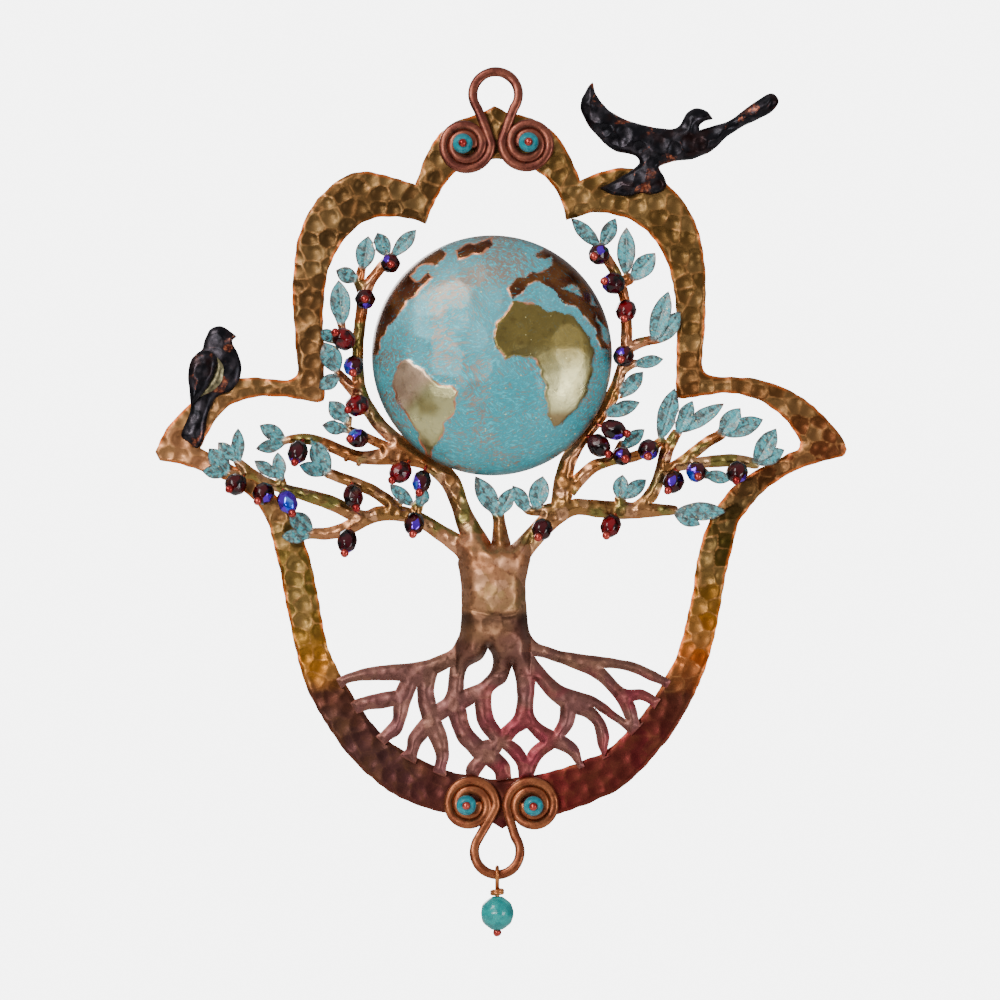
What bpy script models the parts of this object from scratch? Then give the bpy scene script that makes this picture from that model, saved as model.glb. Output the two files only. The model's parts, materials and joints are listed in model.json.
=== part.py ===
"""A hammered copper hamsa wall hanging with a tree of life.

An open hamsa (hand) frame holds a tree cut from one sheet. The tree's arms carry a domed globe,
glass beads on ball-headed pins, and leaves. Two birds, two spiral wire hangers with turquoise
beads, and a faceted drop bead complete it.

Shape tables are in millimetres and the scene is in metres. +Z is up and the front faces -Y. The
origin is the point of the hanging loop that rests on the nail, in the plane of the wall.
"""
import math

import bmesh
import bpy
from mathutils import Vector
from mathutils.bvhtree import BVHTree
from mathutils.geometry import delaunay_2d_cdt
from mathutils.kdtree import KDTree

MM = 0.001
GAP = 0.3  # between neighbouring pieces

FRAME_THICK = 1.2  # the frame's back lies in the wall plane, y = 0
SHEET_THICK = 1.0  # tree and birds
TREE_FRONT = -(FRAME_THICK + GAP + SHEET_THICK)
TRUNK_SWELL = 3.6  # how far the hammered trunk stands forward of its edges
TRUNK_REACH = 5.0
OUTLINE_STEP = 3.2

WIRE_RADIUS = 1.0
WIRE_Y = -(FRAME_THICK + 0.4 + WIRE_RADIUS)
SPIRAL_START = 6.5
SPIRAL_PITCH = 2.25  # lost from the radius in each turn
SPIRAL_TURNS = 2.0
LOOP_RADIUS = 5.7
TOP_LOOP = (-0.1, WIRE_RADIUS - LOOP_RADIUS)  # the nail touches the wire at z = 0
BOTTOM_LOOP = (0.3, -193.7)
BOTTOM_LOOP_Y = -5.6  # bent forward, so that the drop bead clears the wall

PIN_RADIUS = 0.4
PIN_HOLE = 0.49
BALL_RADIUS = 1.05
RIVET_HOLE = PIN_RADIUS + GAP
BEAD_CLEARANCE = 0.9

GLOBE_CENTRE = (-1.0, -69.9)
GLOBE_RADIUS = 30.0
GLOBE_HEIGHT = 14.0
GLOBE_THICK = 1.0

DROP_X = 0.3
DROP_BEAD_Z = -209.0
DROP_BEAD_RADIUS = 4.35
DROP_BEAD_HALF = 4.3

# Outlines are runs of (x, z); a smooth curve goes through each run, and runs meet at corners.
FRAME_OUTER = [
    [(-0.5, -7.6), (-3.0, -9.2), (-8.5, -10.9), (-14.0, -14.5), (-17.6, -20.5), (-20.1, -27.4)],
    [(-20.1, -27.4), (-25.5, -25.6), (-32.1, -24.1), (-38.5, -25.7), (-45.3, -32.0),
     (-49.4, -41.0), (-50.7, -54.0), (-50.1, -65.0), (-49.4, -73.6)],
    [(-49.4, -73.6), (-50.5, -75.5), (-53.4, -76.2)],
    [(-53.4, -76.2), (-62.5, -75.5), (-70.3, -77.9), (-77.0, -82.7), (-82.5, -88.6), (-85.0, -94.0)],
    [(-85.0, -94.0), (-84.0, -96.0), (-80.8, -96.5)],
    [(-80.8, -96.5), (-73.0, -98.7), (-66.5, -101.5), (-60.0, -106.4), (-56.8, -112.0)],
    [(-56.8, -112.0), (-53.8, -124.0), (-51.3, -137.0), (-48.0, -150.5), (-43.0, -160.9),
     (-35.5, -171.0), (-27.0, -178.4), (-17.5, -182.8), (-7.0, -185.2), (-1.5, -186.2), (1.6, -188.0)],
    [(1.6, -188.0), (5.0, -186.0), (15.5, -184.3), (24.8, -181.0), (32.5, -176.8), (40.0, -169.2),
     (46.0, -161.0), (51.4, -150.0), (54.8, -139.0), (57.1, -125.5), (60.4, -111.8)],
    [(60.4, -111.8), (63.0, -108.0), (67.9, -102.8), (75.0, -98.4), (83.6, -95.6), (86.6, -94.9)],
    [(86.6, -94.9), (87.6, -93.4), (86.9, -91.5)],
    [(86.9, -91.5), (82.5, -85.7), (75.5, -80.0), (67.0, -76.3), (58.0, -75.3), (53.3, -75.0)],
    [(53.3, -75.0), (51.9, -74.0), (51.4, -72.0)],
    [(51.4, -72.0), (52.1, -62.0), (52.3, -51.0), (50.8, -40.0), (46.4, -31.0), (40.0, -25.4),
     (32.6, -23.2), (26.5, -24.0), (21.0, -26.3)],
    [(21.0, -26.3), (19.4, -22.5), (17.0, -17.5), (13.5, -13.6), (8.0, -10.5), (2.6, -9.2), (-0.5, -7.6)],
]
FRAME_BOTTOM = [
    (-38.7, -150.2), (-33.3, -159.0), (-26.6, -166.4), (-19.4, -170.7), (-12.3, -173.7), (-4.5, -175.3),
    (0.8, -175.9), (9.2, -175.0), (16.6, -173.1), (21.9, -171.2), (27.4, -168.9), (32.6, -164.1),
    (38.3, -157.6), (42.3, -150.6),
]
FRAME_INNER = [
    [(0.6, -20.6), (-6.0, -22.0), (-10.8, -24.5), (-14.6, -30.0), (-17.7, -36.8)],
    [(-17.7, -36.8), (-22.0, -35.4), (-27.5, -35.1), (-33.0, -36.4), (-38.2, -41.0), (-41.8, -47.8),
     (-43.2, -56.0), (-43.2, -68.0), (-42.8, -79.3)],
    [(-42.8, -79.3), (-43.2, -81.0), (-44.6, -81.5)],
    [(-44.6, -81.5), (-50.0, -80.6), (-57.0, -79.9), (-64.1, -81.2), (-69.3, -84.7), (-74.0, -93.0)],
    [(-74.0, -93.0), (-67.8, -96.3), (-61.5, -99.8), (-55.3, -104.8), (-50.6, -111.0),
     (-47.2, -119.0), (-44.6, -129.8), (-42.4, -142.0), (-38.7, -150.2)],
    FRAME_BOTTOM,
    [(42.3, -150.6), (46.0, -143.0), (49.1, -129.8), (50.6, -120.5), (53.1, -111.9), (57.1, -105.3),
     (63.0, -100.0), (70.0, -96.3), (75.6, -93.2)],
    [(75.6, -93.2), (76.2, -91.4), (73.9, -87.7), (70.6, -84.1), (65.5, -80.8), (59.0, -79.2),
     (52.0, -79.7), (46.9, -80.6)],
    [(46.9, -80.6), (45.4, -80.4), (45.1, -79.0)],
    [(45.1, -79.0), (45.3, -66.8), (44.9, -55.0), (42.6, -46.0), (38.6, -39.6), (33.0, -35.6),
     (25.2, -34.0), (17.6, -35.9)],
    [(17.6, -35.9), (15.9, -30.0), (12.4, -25.2), (7.5, -22.3), (0.6, -20.6)],
]

# Branches: (x, z, width) along each centre line.
BRANCHES = [
    [(-3.5, -122.0, 7.0), (-8.6, -117.8, 5.2), (-13.0, -114.8, 4.0), (-17.0, -112.0, 3.6),
     (-21.0, -110.0, 3.6), (-25.5, -109.1, 4.0), (-30.0, -109.6, 3.6), (-34.0, -111.2, 3.6),
     (-38.0, -113.4, 3.2), (-42.5, -114.4, 2.8), (-47.2, -114.4, 2.6)],
    [(-24.0, -108.2, 3.0), (-27.5, -106.0, 2.8), (-31.0, -103.6, 2.7), (-36.0, -101.4, 2.6),
     (-42.2, -99.2, 2.3)],
    [(-32.5, -110.8, 3.4), (-36.5, -109.0, 3.6), (-41.0, -106.8, 3.5), (-46.0, -105.3, 2.8),
     (-51.5, -103.7, 2.4), (-57.0, -101.7, 2.4), (-61.5, -99.1, 2.4), (-64.6, -96.4, 2.0)],
    [(-60.5, -99.8, 2.2), (-64.0, -99.8, 2.0), (-67.6, -99.2, 1.8)],
    [(-53.4, -103.2, 2.6), (-54.0, -100.0, 2.3)],
    [(-2.0, -123.0, 7.5), (-4.6, -117.5, 6.6), (-6.8, -113.0, 5.6), (-8.4, -109.0, 4.4),
     (-9.8, -105.0, 4.3), (-11.2, -101.8, 4.6), (-14.0, -98.6, 4.4), (-18.2, -95.8, 4.0),
     (-22.0, -93.3, 3.6), (-25.5, -90.6, 3.4), (-28.6, -87.7, 3.2), (-31.2, -84.3, 3.2),
     (-33.4, -80.5, 3.2), (-34.4, -76.5, 3.0), (-34.3, -71.0, 2.8), (-34.4, -66.0, 2.6),
     (-33.8, -61.0, 2.7), (-33.1, -56.0, 2.8), (-31.4, -51.4, 2.5), (-29.0, -48.4, 2.2),
     (-26.7, -45.4, 2.2)],
    [(-33.0, -54.5, 2.8), (-34.3, -51.2, 2.7), (-33.5, -48.2, 2.0)],
    [(-34.4, -67.6, 2.6), (-37.0, -66.0, 2.2), (-40.6, -65.9, 2.0)],
    [(-38.0, -66.0, 2.0), (-38.5, -62.0, 2.0)],
    [(-34.8, -79.2, 3.0), (-37.2, -76.8, 2.4), (-39.4, -74.4, 2.2)],
    [(-15.5, -97.0, 4.0), (-20.0, -95.8, 3.6), (-27.0, -95.6, 3.2), (-34.0, -95.4, 3.1),
     (-39.5, -93.3, 2.8), (-44.5, -91.3, 2.5), (-49.0, -90.6, 2.2), (-53.0, -91.3, 2.0)],
    [(-20.0, -95.0, 3.0), (-24.5, -93.8, 2.7), (-28.5, -92.2, 2.2), (-33.0, -90.3, 2.0),
     (-37.0, -88.4, 2.2), (-37.0, -85.4, 2.0)],
    [(-20.3, -109.4, 3.0), (-19.2, -106.8, 2.6)],
    [(1.6, -122.0, 7.0), (1.3, -116.6, 4.4), (0.9, -112.5, 3.0), (0.5, -109.4, 3.0)],
    [(3.8, -122.5, 7.5), (6.6, -118.6, 5.6), (9.2, -115.6, 5.0), (12.0, -112.4, 4.8),
     (15.4, -109.4, 4.8), (20.0, -107.7, 3.8), (25.0, -108.2, 4.0), (30.0, -108.5, 4.2),
     (35.0, -108.6, 4.0), (40.0, -108.4, 3.0), (44.6, -108.6, 2.2)],
    [(14.5, -108.0, 2.8), (11.0, -108.8, 2.2), (7.8, -108.6, 2.0)],
    [(15.8, -109.0, 4.8), (16.6, -104.5, 4.8), (17.0, -100.0, 4.2), (18.3, -95.8, 3.7),
     (20.5, -91.8, 3.4), (23.2, -88.2, 3.4), (26.0, -84.8, 3.4), (28.4, -81.2, 3.4),
     (30.2, -77.4, 3.0), (31.5, -73.0, 2.6), (32.5, -68.5, 2.8), (32.6, -63.0, 2.6),
     (32.4, -57.5, 2.4), (31.3, -52.6, 2.4), (29.6, -48.8, 2.4), (27.6, -45.6, 2.2),
     (26.0, -43.0, 2.2)],
    [(31.0, -52.0, 2.6), (33.4, -50.6, 2.8)],
    [(33.0, -68.0, 2.8), (36.0, -66.7, 2.3), (39.2, -66.0, 2.4)],
    [(31.6, -73.4, 2.4), (34.8, -71.9, 2.0)],
    [(18.2, -103.6, 3.6), (21.6, -100.0, 3.0), (24.8, -97.4, 2.8), (29.0, -96.0, 2.6),
     (34.0, -95.3, 2.4), (38.0, -93.6, 2.2), (41.4, -91.2, 2.0)],
    [(29.6, -96.0, 2.2), (31.4, -92.2, 2.0)],
    [(31.2, -108.0, 3.0), (31.0, -105.4, 2.4)],
    [(35.6, -107.8, 3.4), (38.6, -104.9, 3.2), (40.4, -101.4, 2.9), (41.6, -97.6, 3.0),
     (42.7, -93.4, 3.1), (45.0, -89.6, 2.6)],
    [(42.0, -99.4, 3.0), (45.8, -97.0, 2.8), (49.6, -94.0, 2.7), (53.0, -91.4, 2.5), (56.4, -89.4, 2.6)],
    [(44.5, -97.6, 2.6), (49.5, -96.9, 2.6), (55.0, -96.2, 2.8), (60.0, -96.1, 2.8), (64.8, -96.9, 2.4)],
    [(49.6, -96.6, 2.2), (52.4, -99.6, 2.0)],
]

# Leaves: base x, base z, tip x, tip z, width.
LEAVES = [
    (-27.0, -45.4, -29.6, -39.3, 4.0), (-26.2, -45.4, -20.0, -38.6, 3.4), (-33.4, -48.8, -31.9, -40.2, 4.7),
    (-34.3, -51.2, -39.9, -48.7, 3.8), (-38.4, -63.0, -39.3, -51.2, 5.0), (-40.2, -66.4, -43.7, -63.6, 3.0),
    (-39.3, -74.4, -42.8, -66.8, 5.2), (-38.9, -74.8, -44.2, -78.1, 3.6), (-36.8, -86.8, -41.6, -81.4, 4.2),
    (-36.6, -88.6, -43.3, -87.3, 3.4), (-52.4, -91.0, -58.9, -87.4, 3.7), (-52.4, -91.7, -59.8, -93.2, 3.2),
    (-41.6, -100.0, -45.8, -91.5, 4.8), (-41.8, -99.5, -49.0, -97.3, 3.5), (-53.9, -101.6, -54.5, -94.2, 3.4),
    (-54.0, -100.6, -60.3, -96.2, 3.1), (-64.4, -97.2, -64.4, -88.2, 3.1), (-64.2, -96.6, -69.3, -91.7, 3.2),
    (-66.4, -99.6, -71.6, -93.2, 4.6), (-66.6, -99.2, -73.2, -98.8, 3.2), (-45.6, -114.0, -51.6, -109.4, 4.6),
    (-46.0, -114.9, -53.5, -115.1, 3.4), (-20.4, -107.6, -26.4, -102.2, 3.2), (-19.3, -107.8, -17.6, -103.0, 3.4),
    (1.0, -110.4, -5.1, -100.2, 4.6), (0.2, -110.4, 4.3, -103.0, 3.8), (8.4, -109.2, 4.2, -102.5, 3.6),
    (9.6, -108.8, 11.7, -100.1, 4.9), (26.4, -43.2, 18.9, -35.8, 3.4), (26.2, -43.0, 29.8, -35.8, 3.6),
    (32.4, -50.4, 32.6, -38.0, 4.4), (33.6, -51.4, 39.7, -44.4, 4.8), (38.9, -67.2, 43.0, -54.0, 4.8),
    (40.0, -67.0, 45.9, -59.0, 4.6), (34.2, -72.2, 41.7, -70.8, 3.0), (30.8, -80.6, 36.7, -74.0, 3.8),
    (26.8, -85.0, 35.8, -81.6, 3.6), (30.6, -105.8, 31.6, -99.8, 3.8), (31.2, -105.8, 37.4, -101.0, 3.6),
    (31.2, -93.2, 37.0, -88.4, 3.4), (40.9, -91.6, 44.6, -78.2, 4.8), (45.2, -90.0, 49.0, -81.3, 4.0),
    (45.0, -89.4, 56.8, -82.0, 3.8), (55.6, -90.2, 61.0, -83.1, 4.6), (56.0, -89.8, 66.6, -85.9, 4.6),
    (64.4, -97.6, 69.9, -88.2, 4.8), (64.4, -97.0, 71.9, -93.5, 4.0), (51.6, -99.6, 58.8, -100.8, 3.0),
    (44.2, -108.8, 57.4, -108.9, 4.4), (44.2, -109.0, 50.9, -112.2, 3.4),
]

# The trunk and the fan of roots, and the openings between the roots.
TRUNK_LEFT = [
    (-8.6, -117.0), (-9.4, -121.6), (-8.6, -127.0), (-9.0, -133.0), (-8.9, -139.0), (-11.4, -143.2),
    (-17.0, -146.0), (-25.0, -147.3), (-32.0, -148.0), (-38.9, -150.3),
]
TRUNK_RIGHT = [
    (42.6, -150.6), (35.4, -147.0), (28.0, -145.5), (20.0, -144.5), (13.0, -142.8), (8.6, -139.8),
    (7.8, -134.0), (7.3, -128.0), (8.0, -122.8), (9.6, -117.0),
]
ROOT_OPENINGS = [
    [(-39.2, -153.4), (-36.6, -151.5), (-30.0, -151.2), (-23.8, -151.1), (-25.0, -153.6), (-30.5, -154.6),
     (-35.2, -156.0), (-36.8, -157.2)],
    [(-34.8, -159.3), (-32.0, -158.3), (-28.0, -157.9), (-25.6, -157.4), (-25.8, -160.8), (-29.2, -164.6),
     (-30.7, -165.5)],
    [(-19.7, -152.5), (-21.4, -156.6), (-22.5, -160.5), (-24.0, -164.2), (-28.2, -167.4), (-24.2, -170.2),
     (-22.4, -168.2), (-21.8, -165.0), (-18.4, -160.6), (-19.4, -156.6)],
    [(-11.5, -147.7), (-14.7, -149.3), (-15.6, -153.4), (-15.0, -157.0), (-12.7, -155.2), (-12.1, -150.8)],
    [(-2.0, -143.0), (-3.6, -145.6), (-7.0, -148.0), (-8.1, -153.4), (-3.8, -151.6), (-1.0, -148.2),
     (-0.9, -144.6)],
    [(3.8, -147.5), (2.4, -151.2), (-0.8, -153.8), (-1.1, -158.4), (1.2, -163.3), (4.4, -160.2),
     (5.4, -155.2), (4.8, -150.6)],
    [(-17.0, -164.9), (-19.0, -167.4), (-20.2, -171.8), (-15.9, -174.4), (-14.9, -170.4)],
    [(-11.9, -160.0), (-13.7, -161.1), (-12.2, -165.4), (-11.8, -170.0), (-12.6, -175.2), (-7.5, -177.0),
     (-7.3, -172.8), (-5.5, -170.4), (-9.4, -166.0)],
    [(-5.3, -156.5), (-7.6, -158.0), (-6.6, -162.4), (-3.4, -166.2), (-1.6, -165.8), (-4.4, -161.8)],
    [(-2.5, -172.2), (-4.3, -174.6), (-4.6, -177.2), (0.3, -177.4), (-0.3, -174.0)],
    [(7.7, -162.9), (3.9, -166.0), (6.2, -167.8), (7.6, -169.9), (9.0, -167.9), (11.0, -166.3)],
    [(1.6, -168.0), (0.8, -169.2), (3.2, -172.0), (3.8, -175.4), (4.4, -177.6), (5.8, -176.0), (5.2, -172.0)],
    [(14.6, -167.8), (11.4, -170.4), (9.3, -175.0), (9.6, -177.0), (16.2, -175.2), (21.0, -173.4),
     (18.2, -169.6)],
    [(9.8, -144.8), (12.6, -148.8), (16.8, -152.6), (24.4, -155.0), (30.0, -159.3), (32.4, -160.8),
     (29.4, -155.0), (24.4, -150.3), (17.0, -147.2)],
    [(19.8, -159.7), (19.2, -162.2), (17.2, -165.0), (20.4, -167.6), (22.4, -173.6), (26.8, -171.8),
     (25.4, -166.8), (24.2, -161.8)],
    [(9.8, -151.0), (9.8, -155.0), (9.5, -159.6), (11.6, -162.2), (14.4, -163.7), (15.8, -161.0),
     (15.9, -157.6), (12.6, -154.6)],
    [(24.4, -157.6), (27.2, -161.6), (28.2, -165.4), (27.0, -170.2), (29.0, -169.6), (34.3, -165.2),
     (31.6, -162.6), (27.8, -160.0)],
    [(34.3, -156.2), (35.2, -159.0), (35.8, -162.2), (40.0, -158.6), (38.3, -156.8), (36.0, -155.8)],
    [(26.8, -147.9), (30.0, -151.0), (32.3, -153.2), (36.4, -153.4), (40.2, -155.4), (42.6, -156.2),
     (42.8, -153.0), (38.0, -150.8), (33.0, -148.6)],
]
ROOT_LAP = 1.3  # how far the root ends lie over the frame, away from the lower hanger
ROOT_LAP_FROM, ROOT_LAP_FULL = 9.0, 13.0

# Glass beads: x, z, ball x, ball z, diameter, length, extra distance in front of the branch.
GLASS_BEADS = [
    (-26.3, -47.0, -26.1, -47.4, 5.2, 5.0, 0.0), (-32.6, -55.9, -32.6, -56.0, 5.5, 5.4, 0.0),
    (-37.9, -65.9, -40.1, -64.2, 5.8, 6.6, 0.0), (-35.5, -72.6, -35.6, -74.5, 5.3, 6.2, 0.0),
    (-34.6, -82.4, -36.9, -83.6, 5.8, 6.6, 0.0), (-34.4, -90.6, -36.5, -90.8, 5.3, 6.0, 0.0),
    (-49.4, -94.1, -50.1, -96.8, 5.5, 6.8, 0.0), (-23.8, -99.0, -26.0, -101.2, 5.7, 6.2, 0.0),
    (-18.5, -101.4, -19.1, -104.3, 5.1, 6.4, 1.2), (-35.6, -105.1, -34.7, -108.2, 5.4, 6.6, 0.0),
    (-20.4, -111.9, -20.7, -114.7, 5.4, 6.6, 0.0), (-64.8, -102.1, -66.5, -103.4, 5.8, 6.0, 0.0),
    (-57.9, -104.4, -59.4, -106.4, 5.8, 6.0, 0.0), (-52.0, -106.5, -50.6, -109.5, 5.4, 6.8, 1.0),
    (-37.1, -116.2, -37.7, -119.4, 5.3, 6.8, 0.0), (25.7, -44.8, 24.3, -45.4, 5.6, 5.6, 0.0),
    (29.3, -52.0, 26.8, -51.5, 5.8, 6.4, 0.0), (32.4, -58.8, 31.9, -61.0, 5.5, 6.2, 0.0),
    (31.8, -70.1, 31.1, -71.1, 5.7, 5.4, 0.3), (29.3, -88.5, 32.8, -89.5, 5.5, 6.6, 1.6),
    (25.6, -92.4, 28.2, -94.7, 5.8, 6.4, 0.0), (31.4, -95.1, 32.2, -95.8, 5.0, 4.8, 2.8),
    (38.0, -93.5, 37.8, -95.2, 5.7, 5.6, 0.0), (44.3, -101.5, 42.7, -103.8, 5.5, 6.4, 0.0),
    (49.9, -99.0, 50.3, -100.2, 5.5, 5.2, 0.9), (60.1, -99.1, 59.8, -101.3, 5.8, 6.0, 0.0),
    (28.6, -112.4, 27.4, -115.0, 5.5, 6.6, 0.0), (11.5, -113.3, 10.5, -115.4, 5.6, 6.0, 0.8),
]
# Turquoise beads and their rivets: name, x, z.
TURQUOISE_BEADS = [
    ("top_left", -8.3, -17.1), ("top_right", 8.1, -16.8),
    ("bottom_left", -7.4, -182.1), ("bottom_right", 9.3, -182.3),
]
TURQUOISE_RADIUS = 2.5
TURQUOISE_HALF = 2.3

PERCHED_BODY = [
    [(-64.8, -65.1), (-66.9, -63.6), (-68.9, -62.4), (-71.6, -63.4), (-73.0, -66.2), (-73.4, -68.3)],
    [(-73.4, -68.3), (-75.9, -70.6), (-77.0, -74.5), (-76.5, -79.4), (-76.3, -82.8), (-77.5, -87.0),
     (-78.6, -90.0)],
    [(-78.6, -90.0), (-76.8, -91.6), (-74.7, -92.9), (-73.2, -91.2)],
    [(-73.2, -91.2), (-72.3, -86.6), (-71.0, -82.4), (-69.6, -80.2), (-66.2, -78.6), (-63.9, -75.6),
     (-63.6, -72.0), (-64.9, -68.0), (-65.7, -66.2), (-64.8, -65.1)],
]
PERCHED_WING = [
    [(-72.4, -68.6), (-70.4, -69.6), (-69.6, -71.6), (-70.4, -74.8), (-73.0, -79.4), (-76.0, -82.2)],
    [(-76.0, -82.2), (-76.6, -78.0), (-76.9, -74.0), (-75.6, -70.4), (-72.4, -68.6)],
]
PERCHED_PATCH = [
    [(-69.5, -70.6), (-68.2, -72.6), (-68.5, -76.0), (-70.4, -78.4), (-74.0, -80.2)],
    [(-74.0, -80.2), (-71.8, -77.0), (-70.0, -73.6), (-69.5, -70.6)],
]
FLYING_BIRD = [
    [(24.1, -1.8), (22.2, -4.2), (21.2, -7.6), (22.4, -11.0), (24.8, -14.4), (28.6, -18.0), (31.6, -19.3),
     (34.8, -20.3), (35.6, -21.8)],
    [(35.6, -21.8), (33.0, -23.6), (30.0, -25.9), (26.2, -28.1)],
    [(26.2, -28.1), (28.8, -29.5), (32.4, -30.0), (36.4, -29.2), (40.2, -29.6), (42.6, -27.8), (41.8, -25.2),
     (40.9, -23.0)],
    [(40.9, -23.0), (43.4, -21.5), (48.6, -20.8), (53.6, -18.8), (56.4, -16.4), (60.2, -13.4),
     (65.0, -10.8), (69.2, -8.6), (70.5, -6.2), (69.0, -4.5), (65.0, -7.1), (60.6, -9.9), (56.8, -12.0),
     (53.4, -12.7), (51.0, -13.5)],
    [(51.0, -13.5), (50.9, -12.4), (52.2, -11.3), (54.1, -10.8)],
    [(54.1, -10.8), (52.4, -8.9), (50.2, -8.2), (47.8, -9.2), (46.5, -11.0), (45.2, -12.8)],
    [(45.2, -12.8), (41.6, -12.8), (37.4, -12.6), (33.2, -11.4), (28.9, -9.3), (26.2, -6.6), (24.9, -4.3),
     (24.1, -1.8)],
]


def clear_scene():
    for obj in list(bpy.data.objects):
        bpy.data.objects.remove(obj, do_unlink=True)


def new_collection(name):
    collection = bpy.data.collections.new(name)
    bpy.context.scene.collection.children.link(collection)
    return collection


def material(name, colour, roughness, metallic):
    made = bpy.data.materials.new(name)
    made.use_nodes = True
    shader = made.node_tree.nodes["Principled BSDF"]
    shader.inputs["Base Color"].default_value = (*colour, 1.0)
    shader.inputs["Roughness"].default_value = roughness
    shader.inputs["Metallic"].default_value = metallic
    return made


def link_object(name, data, collection, look):
    obj = bpy.data.objects.new(name, data)
    collection.objects.link(obj)
    data.materials.append(look)
    return obj


def hide_helper(obj):
    obj.hide_render = True
    obj.display_type = "WIRE"


def spline(points, step, closed=False):
    """Points about `step` apart on a Catmull-Rom curve through tuples of any length."""
    if closed:
        points = [points[-1], *points, points[0], points[1]]
    else:
        before = tuple(2 * a - b for a, b in zip(points[0], points[1]))
        after = tuple(2 * a - b for a, b in zip(points[-1], points[-2]))
        points = [before, *points, after]
    found = []
    for a, b, c, d in zip(points, points[1:], points[2:], points[3:]):
        count = max(1, round(math.dist(b[:2], c[:2]) / step))
        for i in range(count):
            t = i / count
            found.append(tuple(
                0.5 * (2 * q + (r - p) * t + (2 * p - 5 * q + 4 * r - s) * t**2 + (3 * q - p - 3 * r + s) * t**3)
                for p, q, r, s in zip(a, b, c, d)
            ))
    if not closed:
        found.append(points[-2])
    return found


def outline(runs, step=OUTLINE_STEP):
    return [point for run in runs for point in spline(run, step)[:-1]]


def circle(x, z, radius, count):
    turns = [2 * math.pi * i / count for i in range(count)]
    return [(x + radius * math.cos(a), z + radius * math.sin(a)) for a in turns]


def leaf_outline(base_x, base_z, tip_x, tip_z, width, steps=5):
    """A leaf pointed at both ends, widest a little past its middle."""
    base, axis = Vector((base_x, base_z)), Vector((tip_x - base_x, tip_z - base_z))
    side = Vector((-axis.y, axis.x)).normalized() * width / 2
    along = [i / steps for i in range(1, steps)]
    bulge = [math.sin(math.pi * t**1.1) ** 0.8 for t in along]
    left = [base + axis * t + side * b for t, b in zip(along, bulge)]
    right = [base + axis * t - side * b for t, b in zip(along, bulge)]
    return [tuple(p) for p in (base, *right, base + axis, *reversed(left))]


def branch_faces(centre_line, step=OUTLINE_STEP):
    """Quads along a centre line of (x, z, width), with a rounded cap at its far end."""
    points = spline(centre_line, step)
    rims = []
    for i, (x, z, width) in enumerate(points):
        before, after = points[max(i - 1, 0)], points[min(i + 1, len(points) - 1)]
        along = Vector((after[0] - before[0], after[1] - before[1])).normalized()
        side = Vector((-along.y, along.x)) * width / 2
        rims.append(((x + side.x, z + side.y), (x - side.x, z - side.y)))
    faces = [[a[1], b[1], b[0], a[0]] for a, b in zip(rims, rims[1:])]
    x, z, width = points[-1]
    return [*faces, circle(x, z, width / 2, 6)]


def root_fan():
    """The trunk and root area. Its lower edge laps over the frame except behind the hanger."""
    points = spline(FRAME_BOTTOM, OUTLINE_STEP)
    lower = []
    for i, (x, z) in enumerate(points):
        before, after = points[max(i - 1, 0)], points[min(i + 1, len(points) - 1)]
        along = Vector((after[0] - before[0], after[1] - before[1])).normalized()
        away = (abs(x - BOTTOM_LOOP[0]) - ROOT_LAP_FROM) / (ROOT_LAP_FULL - ROOT_LAP_FROM)
        lap = ROOT_LAP * min(max(away, 0.0), 1.0)
        lower.append((x + along.y * lap, z - along.x * lap))
    return [*spline(TRUNK_LEFT, OUTLINE_STEP), *lower, *spline(TRUNK_RIGHT, OUTLINE_STEP)]


def area(loop):
    """Of a flat closed outline, and positive where it runs anticlockwise."""
    return sum(a[0] * b[1] - b[0] * a[1] for a, b in zip(loop, [*loop[1:], loop[0]])) / 2


def flat_union(solids, holes):
    """One flat bmesh in the XZ plane: all the solid outlines joined, less the holes."""
    coords, faces = [], []
    for loop in [*solids, *holes]:
        count = len(coords)
        coords.extend(Vector(p) for p in loop)
        indices = list(range(count, len(coords)))
        faces.append(indices if area(loop) > 0 else indices[::-1])
    points, _, triangles, _, _, sources = delaunay_2d_cdt(coords, [], faces, 1, 1e-4)
    kept = [
        triangle for triangle, source in zip(triangles, sources)
        if source and max(source) < len(solids)
    ]
    flat = bmesh.new()
    verts = [flat.verts.new((p.x, 0.0, p.y)) for p in points]
    for triangle in kept:
        flat.faces.new([verts[i] for i in triangle])
    bmesh.ops.delete(flat, geom=[v for v in flat.verts if not v.link_faces], context="VERTS")
    bmesh.ops.remove_doubles(flat, verts=flat.verts, dist=0.15)
    bmesh.ops.dissolve_limit(flat, angle_limit=math.radians(5), verts=flat.verts, edges=flat.edges)
    return flat


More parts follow.
